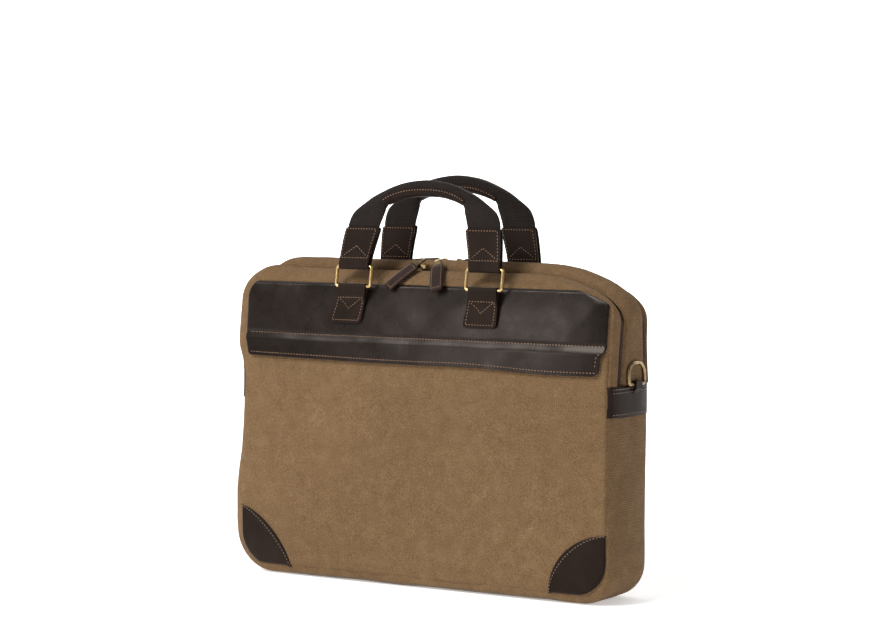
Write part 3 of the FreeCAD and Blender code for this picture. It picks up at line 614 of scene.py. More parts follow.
def lofted_band(name, one, two, dome, thick, material, steps=26):
    """A band of cloth between two matching outlines in space, standing out between them.

    dome is the rise at each place: a function of the share of the way from one outline to the
    other that returns one value for each point.
    """
    share = 0.5 - 0.5 * np.cos(np.linspace(0, math.pi, steps))
    flat = one[:, [0, 2]] * 0.5 + two[:, [0, 2]] * 0.5
    out = outline_normals(flat)
    if np.sum(out * (flat - BAG_MIDDLE[[0, 2]])) < 0:
        out = -out
    out = np.stack([out[:, 0], 0 * out[:, 0], out[:, 1]], axis=1)
    width = np.linalg.norm(two - one, axis=1)
    grid = []
    for s in share:
        rise = dome(s)
        for near in (s * width, (1 - s) * width):
            rise = rise - ROLL_DEPTH * (1 - smooth_step(near / ROLL)) ** 1.5
        grid.append(one * (1 - s) + two * s + out * rise[:, None])
    grid = np.array(grid)
    uneven = wobble(grid, 48, 0.9, 5) + wobble(grid, 17, 0.4, 9)
    grid = grid + (uneven * (1 - np.abs(2 * share - 1) ** 4)[:, None])[..., None] * out
    grid[..., 2] = np.maximum(grid[..., 2], 0.15)
    return grid_shell(name, grid, thick, material, BAG_MIDDLE)


def even_dome(height):
    """A dome of the same round section everywhere, from its height at each point."""
    return lambda share: height * (1 - abs(2 * share - 1) ** 2.4)


def build_canvas():
    canvas_face("canvas_front", FRONT_SIDE, FRONT_FACE,
                ["front_panel_lower", "front_panel_upper"])
    canvas_face("canvas_back", BACK_SIDE, BACK_FACE,
                ["back_panel_lower", "back_panel_upper"])

    cup = cup_outline(HALF - 0.2, FRONT_FACE["foot"], CORNER, BAND_HIGH + 1)
    way = np.sign(cup[:, 0])
    low = low_share(cup[:, 1])
    ends = []
    for face, y in ((FRONT_FACE, FRONT_Y + 0.6), (BACK_FACE, BACK_Y - 0.6)):
        more = np.where(way < 0, face["spread"][0], face["spread"][1])
        ends.append(np.stack([cup[:, 0] + way * more * low, np.full(len(cup), y), cup[:, 1]],
                             axis=1))
    lower = lofted_band("canvas_gusset_lower", ends[0], ends[1],
                        lambda share: gusset_rise(way, cup[:, 1], share), 1.2, "canvas", steps=40)
    dress(lower, "canvas", "bag", "gusset_lower")

    rise = FRONT_SEAM_Z - FOLD_Z
    lean = math.cos(FRONT_LEAN)
    seam = arch_outline(HALF - 0.2, (rise + 0.6) / lean, SEAM_LEFT, SEAM_RIGHT, 0.5, sharp=True)
    lip = arch_outline(ZIP_HALF + 0.4, ZIP_TOP / lean + 0.4, (42, 42), ZIP_RIGHT, 0.5)
    one = leaf_point(FRONT_SIDE, seam[:, 0], 0.6, seam[:, 1])
    two = leaf_point(FRONT_SIDE, lip[:, 0], FRONT_LIP, lip[:, 1])
    fuller = np.clip(-seam[:, 0] / HALF, 0, 1) ** 10
    fuller = fuller * (2.2 + 7.0 * smooth_step((seam[:, 1] - 4) / 26))
    piece = lofted_band("canvas_strip_front", one, two, even_dome(1.3 + fuller), 1.2, "canvas")
    dress(piece, "canvas", "front_leaf", "gusset_front_strip")

    far_lip = arch_outline(ZIP_HALF + 0.9, ZIP_TOP / lean + 1.4, (42, 42), ZIP_RIGHT, 1.5)
    one = leaf_point(FRONT_SIDE, far_lip[:, 0], FRONT_FAR_LIP, far_lip[:, 1])
    two = leaf_point(BACK_SIDE, far_lip[:, 0], BACK_FAR_LIP, far_lip[:, 1])
    up = np.clip(outline_normals(far_lip)[:, 1], 0, 1)
    piece = lofted_band("canvas_crown", one, two, even_dome(0.9 + 6.6 * up), 1.2, "canvas",
                        steps=30)
    dress(piece, "canvas", "bag", "gusset_middle")

    rise = BACK_SEAM_Z - FOLD_Z
    seam = arch_outline(HALF - 0.2, rise, BACK_FACE["left"], BACK_FACE["right"], 0.5)
    one = leaf_point(BACK_SIDE, lip[:, 0], BACK_LIP, lip[:, 1])
    two = leaf_point(BACK_SIDE, seam[:, 0], 0.6, seam[:, 1])
    piece = lofted_band("canvas_strip_back", one, two, even_dome(np.full(len(seam), 0.9)), 1.2,
                        "canvas")
    dress(piece, "canvas", "back_leaf", "gusset_back_strip")


# --- zips -------------------------------------------------------------------------------------

def leaf_inwards(node, side):
    """How far a tape's two edges are inwards of its face, measured at the tape's foot."""
    low, high = span(node)
    lean = FRONT_LEAN if side == FRONT_SIDE else BACK_LEAN
    width = (high[1] - low[1] - (high[2] - low[2]) * math.tan(lean)) / math.cos(lean)
    outer = low[1] if side == FRONT_SIDE else high[1]
    face = FRONT_Y if side == FRONT_SIDE else BACK_Y
    foot = abs(outer - face)
    return foot, foot + width


FRONT_OUTER = leaf_inwards("zip_front_tape_outer", FRONT_SIDE)
BACK_OUTER = leaf_inwards("zip_back_tape_outer", BACK_SIDE)
TAPE_WIDTH = FRONT_OUTER[1] - FRONT_OUTER[0]
FRONT_SPLIT = FRONT_OUTER[1] + 0.2
BACK_SPLIT = BACK_OUTER[1] + 0.2
LIP_GAP = 3.9           # from the line where the teeth meet to the fold of cloth beside them
FRONT_LIP, FRONT_FAR_LIP = FRONT_SPLIT - LIP_GAP, FRONT_SPLIT + LIP_GAP
BACK_LIP, BACK_FAR_LIP = BACK_SPLIT - LIP_GAP + 1, BACK_SPLIT + LIP_GAP - 1


def zip_half(name, side, start, end, teeth_at, way, body, node):
    """One tape with its half of the coil, whose teeth reach over the line where the tapes meet."""
    lean = math.cos(FRONT_LEAN)
    line = arch_outline(ZIP_HALF - 1.2, ZIP_TOP / lean - 1.2, (41, 41), ZIP_RIGHT, 1.0)
    rows = [leaf_point(side, line[:, 0], inwards, line[:, 1])
            for inwards in np.linspace(start, end, 4)]
    tape = grid_shell(name, np.array(rows), 0.7, "zip_tape", BAG_MIDDLE)
    dress(tape, "zip_tape", body, node)

    middle = leaf_point(side, line[:, 0], teeth_at, line[:, 1])
    placed, along = resample(middle, 1.5)
    across = leaf_point(side, 0, 1.0, 0) - leaf_point(side, 0, 0.0, 0)
    points, faces = [], []
    corners = [(a, b, c) for a in (-1, 1) for b in (-1, 1) for c in (-1, 1)]
    quads = [(0, 1, 3, 2), (4, 6, 7, 5), (0, 4, 5, 1), (2, 3, 7, 6), (0, 2, 6, 4), (1, 5, 7, 3)]
    for place, forward in zip(placed, along):
        up = np.cross(across, forward)
        up = up if np.dot(up, place - np.array([0, 0, FOLD_Z - 60])) > 0 else -up
        base = len(points)
        for a, b, c in corners:
            size = 0.62 if c > 0 else 1.0
            points.append(place + across * (way * 0.35 + b * 1.25) + forward * a * 0.45 * size
                          + up * (0.15 + c * 0.75))
        faces += [tuple(base + number for number in quad) for quad in quads]
    coil = make_mesh(f"{name}_coil", points, faces, "zip_coil", smooth=False)
    dress(coil, "zip_tape", body)


def build_zips():
    zip_half("zip_front_outer", FRONT_SIDE, FRONT_OUTER[0], FRONT_OUTER[1], FRONT_SPLIT - 0.9, 1,
             "front_leaf", "zip_front_tape_outer")
    zip_half("zip_front_inner", FRONT_SIDE, FRONT_SPLIT + 0.2, FRONT_SPLIT + 0.2 + TAPE_WIDTH,
             FRONT_SPLIT + 0.9, -1, "bag", "zip_front_tape_inner")
    zip_half("zip_back_outer", BACK_SIDE, BACK_OUTER[0], BACK_OUTER[1], BACK_SPLIT - 0.9, 1,
             "back_leaf", "zip_back_tape_outer")
    zip_half("zip_back_inner", BACK_SIDE, BACK_SPLIT + 0.2, BACK_SPLIT + 0.2 + TAPE_WIDTH,
             BACK_SPLIT + 0.9, -1, "bag", "zip_back_tape_inner")


# --- leather on the front ---------------------------------------------------------------------

STITCH_Z = FLAP_Z - 3.0


def yoke_edges(z):
    """Left and right edges of the yoke and, below the stitch line, of its free flap."""
    left, right = face_half(z, **FRONT_FACE)
    left = left + 1.2
    right = right - 1.2
    low = np.clip((STITCH_Z - 1 - z) / (STITCH_Z - 1 - FLAP_LOW), 0, 1)
    flap_left = left + 6.5 * low ** 0.8
    notch = 5.5 * smooth_step(low / 0.45)
    corner = 9.0 * (1 - np.sqrt(np.clip(1 - np.clip((low - 0.62) / 0.38, 0, 1) ** 2, 0, 1)))
    left_corner = 4.0 * (1 - np.sqrt(np.clip(1 - np.clip((low - 0.8) / 0.2, 0, 1) ** 2, 0, 1)))
    return flap_left + left_corner, right - notch - corner


def hem_lift(x):
    """How far the flap's wavy lower edge is above its straight line, lower towards the right."""
    share = np.clip((x + HALF) / (2 * HALF), 0, 1)
    return wobble(np.stack([x, 0 * x, 0 * x], axis=-1), 90, 2.4, 4) + 0.6 - 5.6 * share ** 1.5


def build_yoke(thread, flap_thread):
    drop = FLAP_LOW + 0.6
    rows = np.concatenate([
        drop + 9 * (1 - np.cos(np.linspace(0, math.pi / 2, 8))),
        np.linspace(drop + 9, STITCH_Z - 1, 9)[1:],
        np.linspace(STITCH_Z - 1, STITCH_Z + 3, 5)[1:],
        np.linspace(STITCH_Z + 3, FRONT_SEAM_Z - 14, 16)[1:],
        FRONT_SEAM_Z - 0.4 - 13.6 * (1 - np.sin(np.linspace(0, math.pi / 2, 12)[1:]))])
    left, right = yoke_edges(rows)
    share = face_columns()
    x = left[:, None] + (right - left)[:, None] * share[None, :]
    z = np.broadcast_to(rows[:, None], x.shape).copy()
    y = yoke_y(x, z)
    hem = smooth_step((STITCH_Z - z) / 20)
    z += hem * hem_lift(x)
    grid = np.stack([x, y, z], axis=2)
    made = grid_shell("yoke_and_flap", grid, 1.5, "leather", BAG_MIDDLE)
    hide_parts("yoke", "flap")
    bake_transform(made)

    def along(xs, zs, lift=0.1):
        return np.stack([xs, yoke_y(xs, zs) - lift, zs], axis=1)

    xs = np.linspace(left[20] + 6, right[20] - 2, 300)
    thread.run(along(xs, np.full(300, STITCH_Z + 1.2)), (0, -1, 0))
    hem_left, hem_right = yoke_edges(np.array([drop + 3.0]))
    xs = np.linspace(hem_left[0] + 3, hem_right[0] - 1, 300)
    flap_thread.run(along(xs, drop + 3.2 + hem_lift(xs)), (0, -1, 0))
    zs = np.linspace(drop + 3.5, STITCH_Z - 2, 40)
    ends = yoke_edges(zs)[1] - 3.0
    flap_thread.run(along(ends, zs), (0, -1, 0))


def yoke_y(x, z):
    """Depth of the yoke's outer face, with the flap standing a little proud below its stitches."""
    y = face_y(FRONT_SIDE, x, z, bulge=PILLOW, **FRONT_FACE)
    grid = np.stack(np.broadcast_arrays(x, y, z), axis=-1)
    y = y - (wobble(grid, 62, 1.3, FRONT_SIDE) + wobble(grid, 23, 0.5, FRONT_SIDE + 3))
    below = smooth_step((STITCH_Z + 1.5 - z) / 7)
    groove = np.exp(-((z - STITCH_Z - 1.2) / 1.3) ** 2)
    return y - 1.7 - below * 1.9 + groove * 0.5 - wobble(grid, 40, 0.5, 11)


def build_patches(thread):
    """Quarter-round leather over the two lower front corners."""
    foot = FRONT_FACE["foot"]
    reach = span("corner_patches")[1][2] - foot + 5
    for way, name in ((-1, "left"), (1, "right")):
        steps = 46
        turn = np.linspace(0, math.pi / 2, steps)
        edge = HALF - 1.4
        flatter = 1.3 if way < 0 else 1.05
        inner = np.stack([edge - reach * 1.04 * np.cos(turn) ** flatter,
                          foot + reach * np.sin(turn) ** flatter], axis=1)
        bend = CORNER - 1
        run = reach - bend
        total = 2 * run + bend * math.pi / 2
        outer = []
        for distance in np.linspace(0, total, steps):
            if distance < run:
                outer.append((edge - reach * 1.04 + distance * 1.06, foot + 0.8))
            elif distance < run + bend * math.pi / 2:
                angle = (distance - run) / bend
                outer.append((edge - bend + bend * math.sin(angle),
                              foot + 0.8 + bend - bend * math.cos(angle)))
            else:
                outer.append((edge, foot + 0.8 + bend + distance - run - bend * math.pi / 2))
        outer = np.array(outer)
        grid = []
        for share in np.linspace(0, 1, 22):
            flat = inner * (1 - share) + outer * share
            more = FRONT_FACE["spread"][0 if way < 0 else 1] * low_share(flat[:, 1])
            x = way * (flat[:, 0] + more)
            y = face_y(FRONT_SIDE, x, flat[:, 1], bulge=PILLOW, **FRONT_FACE)
            place = np.stack([x, y, flat[:, 1]], axis=1)
            y = y - (wobble(place, 62, 1.3, -1) + wobble(place, 23, 0.5, 2)) - 1.3
            grid.append(np.stack([x, y, flat[:, 1]], axis=1))
        made = grid_shell(f"corner_patch_{name}", np.array(grid), 1.3, "leather_dark", BAG_MIDDLE)
        dress(made, "leather", "bag", *(["corner_patches"] if way > 0 else []))
        line = np.array(grid[1])
        line = line + (np.array(grid[3]) - line) * 0.35
        thread.run(line - np.array([0, 0.15, 0]), (0, -1, 0))


def build_bands(thread):
    """Leather bands across the gusset; the loops that hold the side rings are kept from the frame.
    """
    for way, name in ((-1, "left"), (1, "right")):
        y = np.linspace(FRONT_Y + 1.0, BACK_Y - 1.0, 34)
        z = np.linspace(BAND_LOW, BAND_HIGH + 0.8, 12)
        share = (y - y[0]) / (y[-1] - y[0])
        near = np.minimum(y - y[0], y[-1] - y)
        yy, zz = np.meshgrid(y, z)
        dome = gusset_rise(way, zz, np.broadcast_to(share, zz.shape)) + 1.6
        dome = dome - 2.6 * (1 - smooth_step(near / 3.0))
        place = np.stack([np.full(yy.shape, way * HALF), yy, zz], axis=2)
        x = way * (HALF - 0.2 + dome + wobble(place, 30, 0.5, 7))
        sag = 1.6 * (1 - (2 * share[None, :] - 1) ** 2) * (zz < BAND_LOW + 12)
        grid = np.stack([x, yy, zz - sag * 0.3], axis=2)
        made = grid_shell(f"side_band_{name}", grid, 1.3, "leather_dark", BAG_MIDDLE)
        dress(made, "leather", "bag", *(["side_bands"] if way > 0 else []))
        for height in (BAND_LOW + 2.4, BAND_HIGH - 1.6, BAND_HIGH - 4.8):
            row = int(round((height - z[0]) / (z[1] - z[0])))
            line = np.stack([grid[row, 2:-2, 0] + way * 0.1, grid[row, 2:-2, 1],
                             np.full(len(y) - 4, height)], axis=1)
            thread.run(line, (way, 0, 0))


# --- leather straps ---------------------------------------------------------------------------

def ribbon(name, path, half_width, thick, material, frame_matrix, inside, columns=14):
    """A strap along a middle line given in its own frame, with its half width at each point."""
    line = np.asarray(path, float)
    wide = np.broadcast_to(np.asarray(half_width, float), (len(line),))
    share = np.sin(np.linspace(-math.pi / 2, math.pi / 2, columns))
    grid = line[None, :, :] + (share[:, None] * wide[None, :])[..., None] * np.array([1, 0, 0])
    return grid_shell(name, placed_in(frame_matrix, grid), thick, material,
                      placed_in(frame_matrix, np.asarray(inside, float)))


def placed_in(matrix, points):
    return points @ matrix[:3, :3].T + matrix[:3, 3]


def frame_at(origin, tilt):
    """A frame at a place in millimetres, turned about X by tilt."""
    matrix = np.eye(4)
    matrix[:3, :3] = np.array(Matrix.Rotation(tilt, 3, "X"))
    matrix[:3, 3] = origin
    return matrix


def rounded_width(distance, half, radius):
    """Half width of a strap's end at distances from its tip, with rounded corners."""
    inside = np.clip(distance / radius, 0, 1)
    return half - radius * (1 - np.sqrt(1 - (1 - inside) ** 2))


def lengths_along(path):
    """How far each point of a path is along it."""
    return np.concatenate([[0], np.cumsum(np.linalg.norm(np.diff(path, axis=0), axis=1))])


def dense(path, step=1.2):
    placed, _ = resample(path, step)
    return np.concatenate([[path[0]], placed, [path[-1]]])


TAB_SKEW = {-1: 0.30, 1: 0.14}      # how far each tab's foot hangs to the left for its drop


def sew_box(thread, matrix, face, box, vee):
    """Sew round a box and along a vee in it, on the side of a strap that face, 1 or -1, says."""
    for line in (box + box[:1], vee):
        thread.run(placed_in(matrix, np.array(line)), matrix[:3, :3] @ np.array([0, face, 0]),
                   pitch=3.0, length=1.6, radius=0.40)


def build_tabs(side, thread):
    """The folded leather tabs that tie a handle's rings to the bag."""
    name = "front" if side == FRONT_SIDE else "back"
    low, high = span(f"handle_tabs_{name}")
    bar = pivot(f"ring_{name}_left_swing")
    half = high[0] - abs(bar[0]) + 1.8
    lean = FRONT_LEAN if side == FRONT_SIDE else BACK_LEAN
    face = 5.0 if side == FRONT_SIDE else 2.2
    drop = bar[2] - low[2] + 1.6
    for way in (-1, 1):
        matrix = frame_at((way * abs(bar[0]), bar[1], bar[2]), side * lean)
        front = [(0, side * (2.6 - face), -drop), (0, side * (3.4 - face), -drop + 10),
                 (0, side * (3.6 - face), -15), (0, side * 1.6, -8)]
        turn = [(0, side * 2.9 * math.cos(a), 2.9 * math.sin(a))
                for a in np.radians(np.linspace(-15, 200, 20))]
        tail = [(0, side * (-1.2 - face * 0.5), -9), (0, side * (-face), -14)]
        path = dense(front + turn + tail)
        skew = TAB_SKEW[way]
        path[:, 0] = skew * np.minimum(path[:, 2] + 4, 0)
        measure = lengths_along(path)
        taper = half - 2.6 + 2.6 * smooth_step((drop - measure) / drop)
        wide = np.minimum(taper, rounded_width(measure, half + 0.4, 5.0))
        label = f"tab_{name}_{'left' if way < 0 else 'right'}"
        made = ribbon(label, path, wide, 1.7, "leather_dark", matrix, (0, 0, 0))
        dress(made, "leather", f"{name}_leaf", *([f"handle_tabs_{name}"] if way > 0 else []))
        rim = half - 3.0

        def at(x, z):
            y = np.interp(z, [-drop, 10 - drop, -15, -8], [2.6 - face, 3.4 - face, 3.6 - face, 1.6])
            return (x + skew * (z + 4), side * (y + 0.2), z)

        box = [at(-rim, 3 - drop), at(rim, 3 - drop), at(rim - 0.8, -15), at(rim - 1.6, -10.5),
               at(1.6 - rim, -10.5), at(0.8 - rim, -15)]
        vee = [at(3 - rim, -11.5), at(2 - rim / 2, -16), at(0, -21), at(rim / 2 - 2, -16),
               at(rim - 3, -11.5)]
        sew_box(thread, matrix, side, box, vee)


def handle_matrix(side):
    """A handle's own frame: its plane stands on the upper bars of its rings and leans inwards."""
    name = "front" if side == FRONT_SIDE else "back"
    bar = pivot(f"handle_{name}_swing")
    low, high = span(f"handle_{name}_webbing")
    far = (high[1] if side == FRONT_SIDE else low[1]) - bar[1]
    tilt = math.atan2(abs(far) - 2.0, high[2] - bar[2])
    return frame_at((0, bar[1], bar[2]), side * tilt)


END_RISE = 37.5         # height of a handle's leather ends over the ring's upper bar
END_LEAN = 6.0          # how far they come inwards over that height


def build_handle(side, thread):
    """Leather ends on the rings, webbing folded along the grip, and the binding under it."""
    name = "front" if side == FRONT_SIDE else "back"
    matrix = handle_matrix(side)
    stretch = 1.0 if side == FRONT_SIDE else 1.04
    rings = abs(pivot(f"ring_{name}_left_swing")[0])
    half = 17.0
    for way in (-1, 1):
        place = matrix.copy()
        place[:3, 3] = matrix[:3, 3] + np.array([way * rings, 0, 0])
        plate = [(0, 3.0, END_RISE), (0, 3.2, END_RISE * 0.6), (0, 3.3, 8), (0, 3.2, 3)]
        turn = [(0, 3.1 * math.cos(a), 3.1 * math.sin(a))
                for a in np.radians(np.linspace(-10, -170, 16))]
        back = [(0, -3.2, 3), (0, -3.3, 8), (0, -3.2, END_RISE * 0.6), (0, -3.0, END_RISE - 0.8)]
        path = dense(plate + turn + back)
        path[:, 0] = -way * END_LEAN * np.clip(path[:, 2] / END_RISE, 0, 1) ** 1.4
        measure = lengths_along(path)
        tip = np.minimum(measure, measure[-1] - measure)
        taper = half - 0.6 + 1.8 * smooth_step((path[:, 2] - 2) / (END_RISE - 2))
        wide = np.minimum(taper, rounded_width(tip, half + 1.4, 3.2))
        label = f"handle_end_{name}_{'left' if way < 0 else 'right'}"
        made = ribbon(label, path, wide, 1.7, "leather_dark", place, (0, 0, END_RISE / 2))
        dress(made, "leather", f"handle_{name}", *([f"handle_{name}_ends"] if way > 0 else []))
        rim = half - 1.5
        for face in (1, -1):

            def at(x, z):
                lean = -way * END_LEAN * (z / END_RISE) ** 1.4
                return (x + lean, face * 3.45, z)

            top = END_RISE - 2.6
            box = [at(-rim + 0.6, 7.5), at(rim - 0.6, 7.5), at(rim, 20), at(rim + 0.9, top),
                   at(-rim - 0.9, top), at(-rim, 20)]
            vee = [at(-rim + 2.6, 9.5), at(0, 19), at(rim - 2.6, 9.5)]
            sew_box(thread, place, face, box, vee)
    tall = matrix.copy()
    tall[:3, 2] *= stretch
    build_webbing(name, tall)
    build_binding(name, tall, thread)


# Half of a handle in its own plane: the outer and the inner edge of the webbing, from inside the
# leather end up over the shoulder to the middle of the grip, and half its thickness there.
HANDLE_OUTER = ((84, 14), (84.5, 30), (84, 39), (81.5, 47), (77, 53), (66.5, 60.5), (54, 68),
                (35, 76), (20, 80), (0, 82))
HANDLE_INNER = ((52, 14), (49.5, 30), (48.5, 38), (46, 46), (44, 52), (43, 56.5), (40, 60),
                (29, 64), (16, 66.8), (0, 67.5))
HANDLE_THICK = (1.2, 1.2, 1.3, 1.7, 2.4, 3.8, 5.2, 5.8, 5.9, 5.9)
GRIP_STATION = 5.75     # where the binding of the grip ends, counted in the lists above
ROUNDNESS = 2.7         # 2 is an ellipse, more is squarer
BINDING_RISE = 7.0


def handle_stations(last, count):
    """Outer edge, inner edge and half thickness at even stations from end to end of a handle."""
    half = len(HANDLE_OUTER) - 1
    at = np.linspace(-(half - last), half - last, count)
    table = np.column_stack([HANDLE_OUTER, HANDLE_INNER, HANDLE_THICK]).astype(float)
    mirrored = table * np.array([-1, 1, -1, 1, 1])
    table = np.concatenate([mirrored, table[-2::-1]])
    values = smooth_line(table, at + half)
    return values[:, :2], values[:, 2:4], values[:, 4]


def smooth_line(table, at):
    """Catmull-Rom interpolation of rows of a table at fractional row numbers."""
    padded = np.concatenate([2 * table[:1] - table[1:2], table, 2 * table[-1:] - table[-2:-1]])
    whole = np.clip(np.floor(at).astype(int), 0, len(table) - 2)
    t = (at - whole)[:, None]
    a, b, c, d = (padded[whole + step] for step in range(4))
    return 0.5 * (2 * b + (c - a) * t + (2 * a - 5 * b + 4 * c - d) * t ** 2
                  + (3 * b - a - 3 * c + d) * t ** 3)


def handle_section(last, count, angles, grow):
    """A grid round a handle's webbing; an angle of nothing is at the inner edge."""
    outer, inner, thick = handle_stations(last, count)
    middle = (outer + inner) / 2
    up = (outer - inner) / 2
    reach = np.linalg.norm(up, axis=1)
    up = up / reach[:, None]
    grid = []
    for angle in angles:
        c, s = np.cos(angle), np.sin(angle)
        a = -(reach + grow) * np.sign(c) * np.abs(c) ** (2 / ROUNDNESS)
        b = (thick + grow) * np.sign(s) * np.abs(s) ** (2 / ROUNDNESS)
        grid.append(np.stack([middle[:, 0] + up[:, 0] * a, b, middle[:, 1] + up[:, 1] * a], axis=1))
    return np.array(grid)


def build_webbing(name, matrix):
    """The strap: flat where it leaves the leather ends, folded in two along the grip."""
    around = 40
    grid = handle_section(0, 170, np.linspace(0, 2 * math.pi, around + 1)[:, None], 0.0)
    grid += (wobble(grid, 14, 0.5, 3))[..., None] * np.array([0, 1, 0])
    grid[-1] = grid[0]
    flat = grid_lengths(grid)[:-1].reshape(-1, 2)
    grid = placed_in(matrix, grid[:-1])
    columns = grid.shape[1]
    faces = []
    for r in range(around):
        one, two = r * columns, (r + 1) % around * columns
        faces += [(one + c, one + c + 1, two + c + 1, two + c) for c in range(columns - 1)]
    faces.append(tuple(r * columns for r in range(around)))
    faces.append(tuple(r * columns + columns - 1 for r in range(around)))
    made = make_mesh(f"webbing_{name}", grid.reshape(-1, 3), faces, "webbing", flat)
    make_normals_point_out(made)
    dress(made, "webbing", f"handle_{name}", f"handle_{name}_webbing")


def build_binding(name, matrix, thread):
    """Leather wrapped under the grip and stitched through the webbing along its upper edges."""
    count = 90
    outer, inner, _ = handle_stations(GRIP_STATION, count)
    reach = np.linalg.norm(outer - inner, axis=1) / 2 + 1.0
    end = np.minimum(np.arange(count), np.arange(count)[::-1]) * 1.1
    height = np.minimum(BINDING_RISE, 3.0 + 2.2 * np.sqrt(end))

    def edge_angle(rise):
        return np.arccos(np.clip((reach - rise) / reach, 0, 1) ** (ROUNDNESS / 2))

    widest = edge_angle(height)
    grid = handle_section(GRIP_STATION, count, [share * widest for share in np.linspace(-1, 1, 31)],
                          1.0)
    middle = placed_in(matrix, np.array([0.0, 0.0, 70.0]))
    made = grid_shell(f"grip_binding_{name}", placed_in(matrix, grid), 1.2, "leather_dark", middle)
    dress(made, "leather", f"handle_{name}", f"handle_{name}_grip")
    low = edge_angle(height - 1.6)
    for face, line in zip((-1, 1), handle_section(GRIP_STATION, count, [-low, low], 1.15)):
        thread.run(placed_in(matrix, line[2:-2]), matrix[:3, :3] @ np.array([0, face, 0]),
                   pitch=3.0, length=1.6, radius=0.40)


# --- sliders and pulls ------------------------------------------------------------------------

def build_pull(side, name):
    """A leather pull: two layers round a core, stitched near its edge, hanging on its link."""
    where = "front" if side == FRONT_SIDE else "back"
    label = f"{where}_{name}"
    low, high = span(f"pull_{label}")
    centre = (low + high) / 2
    start = pivot(f"pull_{label}_lift")
    way = centre - start
    way = way / np.linalg.norm(way)
    axis = np.array(joints[f"pull_{label}_lift"]["axis"])
    normal = np.cross(way, axis)
    if normal[2] < 0:
        normal = -normal
    length = 34.0 if side == FRONT_SIDE else 28.0
    half = 6.4
    begin = 8.5
    rows, columns = 26, 14
    along = np.linspace(0, length, rows)
    wide = np.minimum(rounded_width(along, half, 1.6), rounded_width(length - along, half, 1.6))
    sides = []
    for face in (1, -1):
        grid = []
        for distance, reach in zip(along, wide):
            share = np.sin(np.linspace(-math.pi / 2, math.pi / 2, columns))
            puff = 1.55 - 0.75 * np.abs(share) ** 6
            droop = -0.0022 * distance ** 2
            row = (start + way * (begin + distance) + normal * droop
                   + np.outer(share * reach, axis) + np.outer(face * puff, normal))
            grid.append(row)
        sides.append(np.array(grid))
    made = closed_sheets(f"pull_tab_{label}", sides[0], sides[1], "pull_leather")
    dress(made, "leather", f"pull_{label}", f"pull_{label}")
    thread = Thread(f"pull_stitches_{label}", f"pull_{label}")
    for face in (1, -1):
        def at(distance, across):
            return (start + way * (begin + distance) - normal * 0.0022 * distance ** 2
                    + axis * across + normal * face * 1.62)
        corners = [at(2.6, -half + 1.9), at(length * 0.5, -half + 1.9), at(length - 2, -half + 1.9),
                   at(length - 2, half - 1.9), at(length * 0.5, half - 1.9), at(2.6, half - 1.9)]
        corners.append(corners[0])
        thread.run(np.array(corners), normal * face, pitch=2.3, length=1.6, radius=0.3)
    thread.finish()


def build_pulls():
    for side in (FRONT_SIDE, BACK_SIDE):
        for name in ("left", "right"):
            build_pull(side, name)


# --- inside -----------------------------------------------------------------------------------

def pad(name, node, puff, radius, rows=40, columns=60):
    """A quilted panel with a crowned face on both sides and a bound edge."""
    low, high = span(node)
    middle = (low + high) / 2
    half_x, half_z = (high[0] - low[0]) / 2, (high[2] - low[2]) / 2
    deep = (high[1] - low[1]) / 2
    u = np.sin(np.linspace(-math.pi / 2, math.pi / 2, columns))
    v = np.sin(np.linspace(-math.pi / 2, math.pi / 2, rows))
    z = middle[2] + v * half_z
    near = np.minimum(high[2] - z, z - low[2])
    inset = radius * (1 - np.sqrt(1 - np.clip(1 - near / radius, 0, 1) ** 2))
    x = middle[0] + u[None, :] * (half_x - inset)[:, None]
    zz = np.broadcast_to(z[:, None], x.shape)
    edge = half_x - inset[:, None] - np.abs(x - middle[0])
    edge = np.minimum(np.minimum(edge, near[:, None]), 40)
    thick = deep * (1 - puff) + deep * puff * (1 - np.exp(-np.maximum(edge, 0) / 7.0))
    sheets = []
    for way in (-1, 1):
        y = middle[1] + way * thick
        sheets.append(np.stack([x, y, zz], axis=2))
    made = closed_sheets(name, sheets[0], sheets[1], "lining")
    dress(made, "lining", "bag", node)


def build_inside():
    pad("padded_divider", "divider", puff=0.45, radius=100)
    pad("padded_sleeve", "laptop_sleeve", puff=0.4, radius=28)


# --- metal and small parts kept from the frame ------------------------------------------------

KEPT = {
    "ring_front_left": "gilt", "ring_front_right": "gilt", "ring_back_left": "gilt",
    "ring_back_right": "gilt", "side_ring_left": "antique_brass",
    "side_ring_right": "antique_brass",
    "base_board": "board", "organiser_pocket": "lining", "front_pocket_lining": "lining",
    "sleeve_strap": "lining", "pocket_zip_tape": "zip_tape", "pocket_slider": "antique_brass",
    "ring_chapes": "leather_dark",
}


def paint_kept():
    kept = dict(KEPT)
    for where in ("front", "back"):
        for name in ("left", "right"):
            kept[f"slider_{where}_{name}"] = "antique_brass"
            kept[f"pull_link_{where}_{name}"] = "antique_brass"
    for node, material in kept.items():
        piece = frame["nodes"][node]
        for slot in piece.material_slots:
            slot.material = MATERIALS[material]


# --- light, floor and camera ------------------------------------------------------------------

def area_light(name, place, aim, size, power, color=(1, 1, 1)):
    light = bpy.data.lights.new(name, "AREA")
    light.shape = "RECTANGLE"
    light.size, light.size_y = size
    light.energy = power
    light.color = color
    holder = add_object(name, light)
    holder.location = place
    holder.rotation_euler = (Vector(aim) - Vector(place)).to_track_quat("-Z", "Y").to_euler()


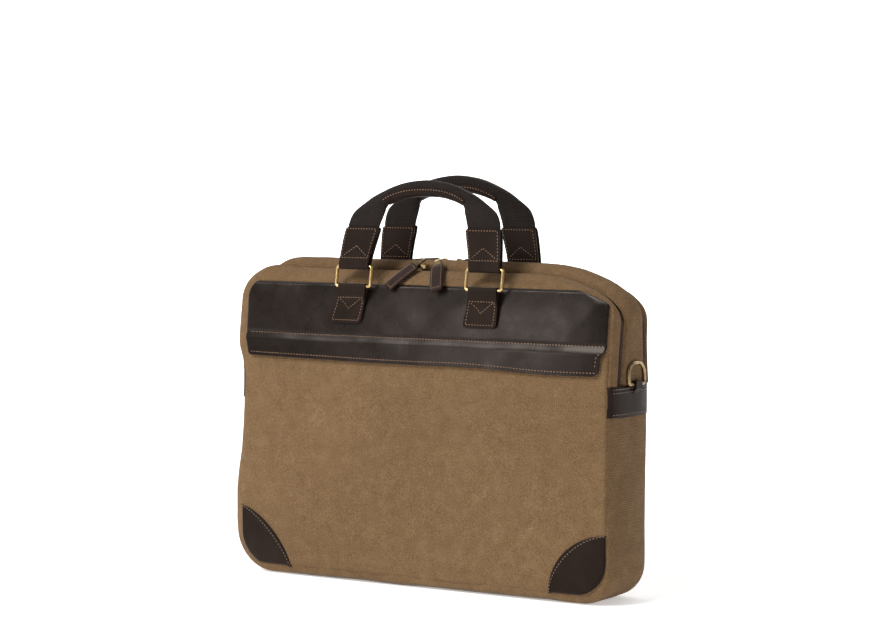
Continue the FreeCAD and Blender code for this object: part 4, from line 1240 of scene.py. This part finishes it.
def build_stage():
    """A white floor and a glowing white wall behind it, lit from the front left."""
    reach = 9.0
    pale = Nodes("floor", (0.93, 0.93, 0.93), 0.9)
    pale.surface({"Emission Color": (1, 1, 1), "Emission Strength": 0.42})
    glow = Nodes("backdrop", (0.9, 0.9, 0.9), 0.9)
    glow.surface({"Emission Color": (1, 1, 1), "Emission Strength": 0.8})
    a = math.radians(AZIMUTH)
    right = np.array([math.cos(a), math.sin(a), 0]) * reach
    away = np.array([-math.sin(a), math.cos(a), 0]) * BACKDROP_AWAY
    foot = (away - right, away + right)
    wall = [foot[0], foot[1], foot[1] + np.array([0, 0, reach]), foot[0] + np.array([0, 0, reach])]
    flat = [(-reach, -reach, 0), (reach, -reach, 0), (reach, reach, 0), (-reach, reach, 0)]
    for name, corners, paint in (("floor", flat, pale), ("backdrop", wall, glow)):
        mesh = bpy.data.meshes.new(name)
        mesh.from_pydata([tuple(map(float, corner)) for corner in corners], [], [(0, 1, 2, 3)])
        mesh.materials.append(paint.material)
        sheet = add_object(name, mesh)

    world = bpy.data.worlds.new("studio")
    bpy.context.scene.world = world
    world.use_nodes = True
    world.node_tree.nodes["Background"].inputs["Color"].default_value = (1, 1, 1, 1)
    world.node_tree.nodes["Background"].inputs["Strength"].default_value = 0.30
    sun = bpy.data.lights.new("key", "SUN")
    sun.energy = 2.7
    sun.angle = math.radians(30)
    holder = add_object("key", sun)
    holder.rotation_euler = Vector((-0.30, -0.66, 0.69)).to_track_quat("Z", "Y").to_euler()
    area_light("softbox", (-0.36, -0.80, 0.40), (0.12, 0, 0.25), (0.16, 0.22), 0.9)
    view = bpy.context.scene.view_settings
    view.view_transform = "Standard"
    view.look = "None"


AZIMUTH, ELEVATION = 33.0, 3.25
BACKDROP_AWAY = 5.0
CAMERA_DISTANCE = 2.475
LENS = 107.8
AIM = (0.0017, 0.003, 0.257)


def build_camera():
    camera = bpy.data.cameras.new("camera")
    camera.lens = LENS
    camera.sensor_width = 36
    camera.clip_end = 50
    holder = add_object("camera", camera)
    a, e = math.radians(AZIMUTH), math.radians(ELEVATION)
    back = Vector((math.sin(a) * math.cos(e), -math.cos(a) * math.cos(e), math.sin(e)))
    holder.location = Vector(AIM) + back * CAMERA_DISTANCE
    holder.rotation_euler = back.to_track_quat("Z", "Y").to_euler()
    bpy.context.scene.camera = holder


# --- the whole bag ----------------------------------------------------------------------------

def build():
    build_camera()
    build_stage()
    front_thread = Thread("stitches_front_leaf", "front_leaf")
    flap_thread = Thread("stitches_flap", "flap")
    bag_thread = Thread("stitches_bag", "bag", "thread_pale")
    back_thread = Thread("stitches_back_leaf", "back_leaf")
    build_canvas()
    build_zips()
    build_yoke(front_thread, flap_thread)
    build_patches(bag_thread)
    build_bands(bag_thread)
    build_tabs(FRONT_SIDE, front_thread)
    build_tabs(BACK_SIDE, back_thread)
    for side, name in ((FRONT_SIDE, "front"), (BACK_SIDE, "back")):
        handle_thread = Thread(f"stitches_handle_{name}", f"handle_{name}")
        build_handle(side, handle_thread)
        handle_thread.finish()
    build_pulls()
    build_inside()
    paint_kept()
    for thread in (front_thread, flap_thread, bag_thread, back_thread):
        thread.finish()


build()
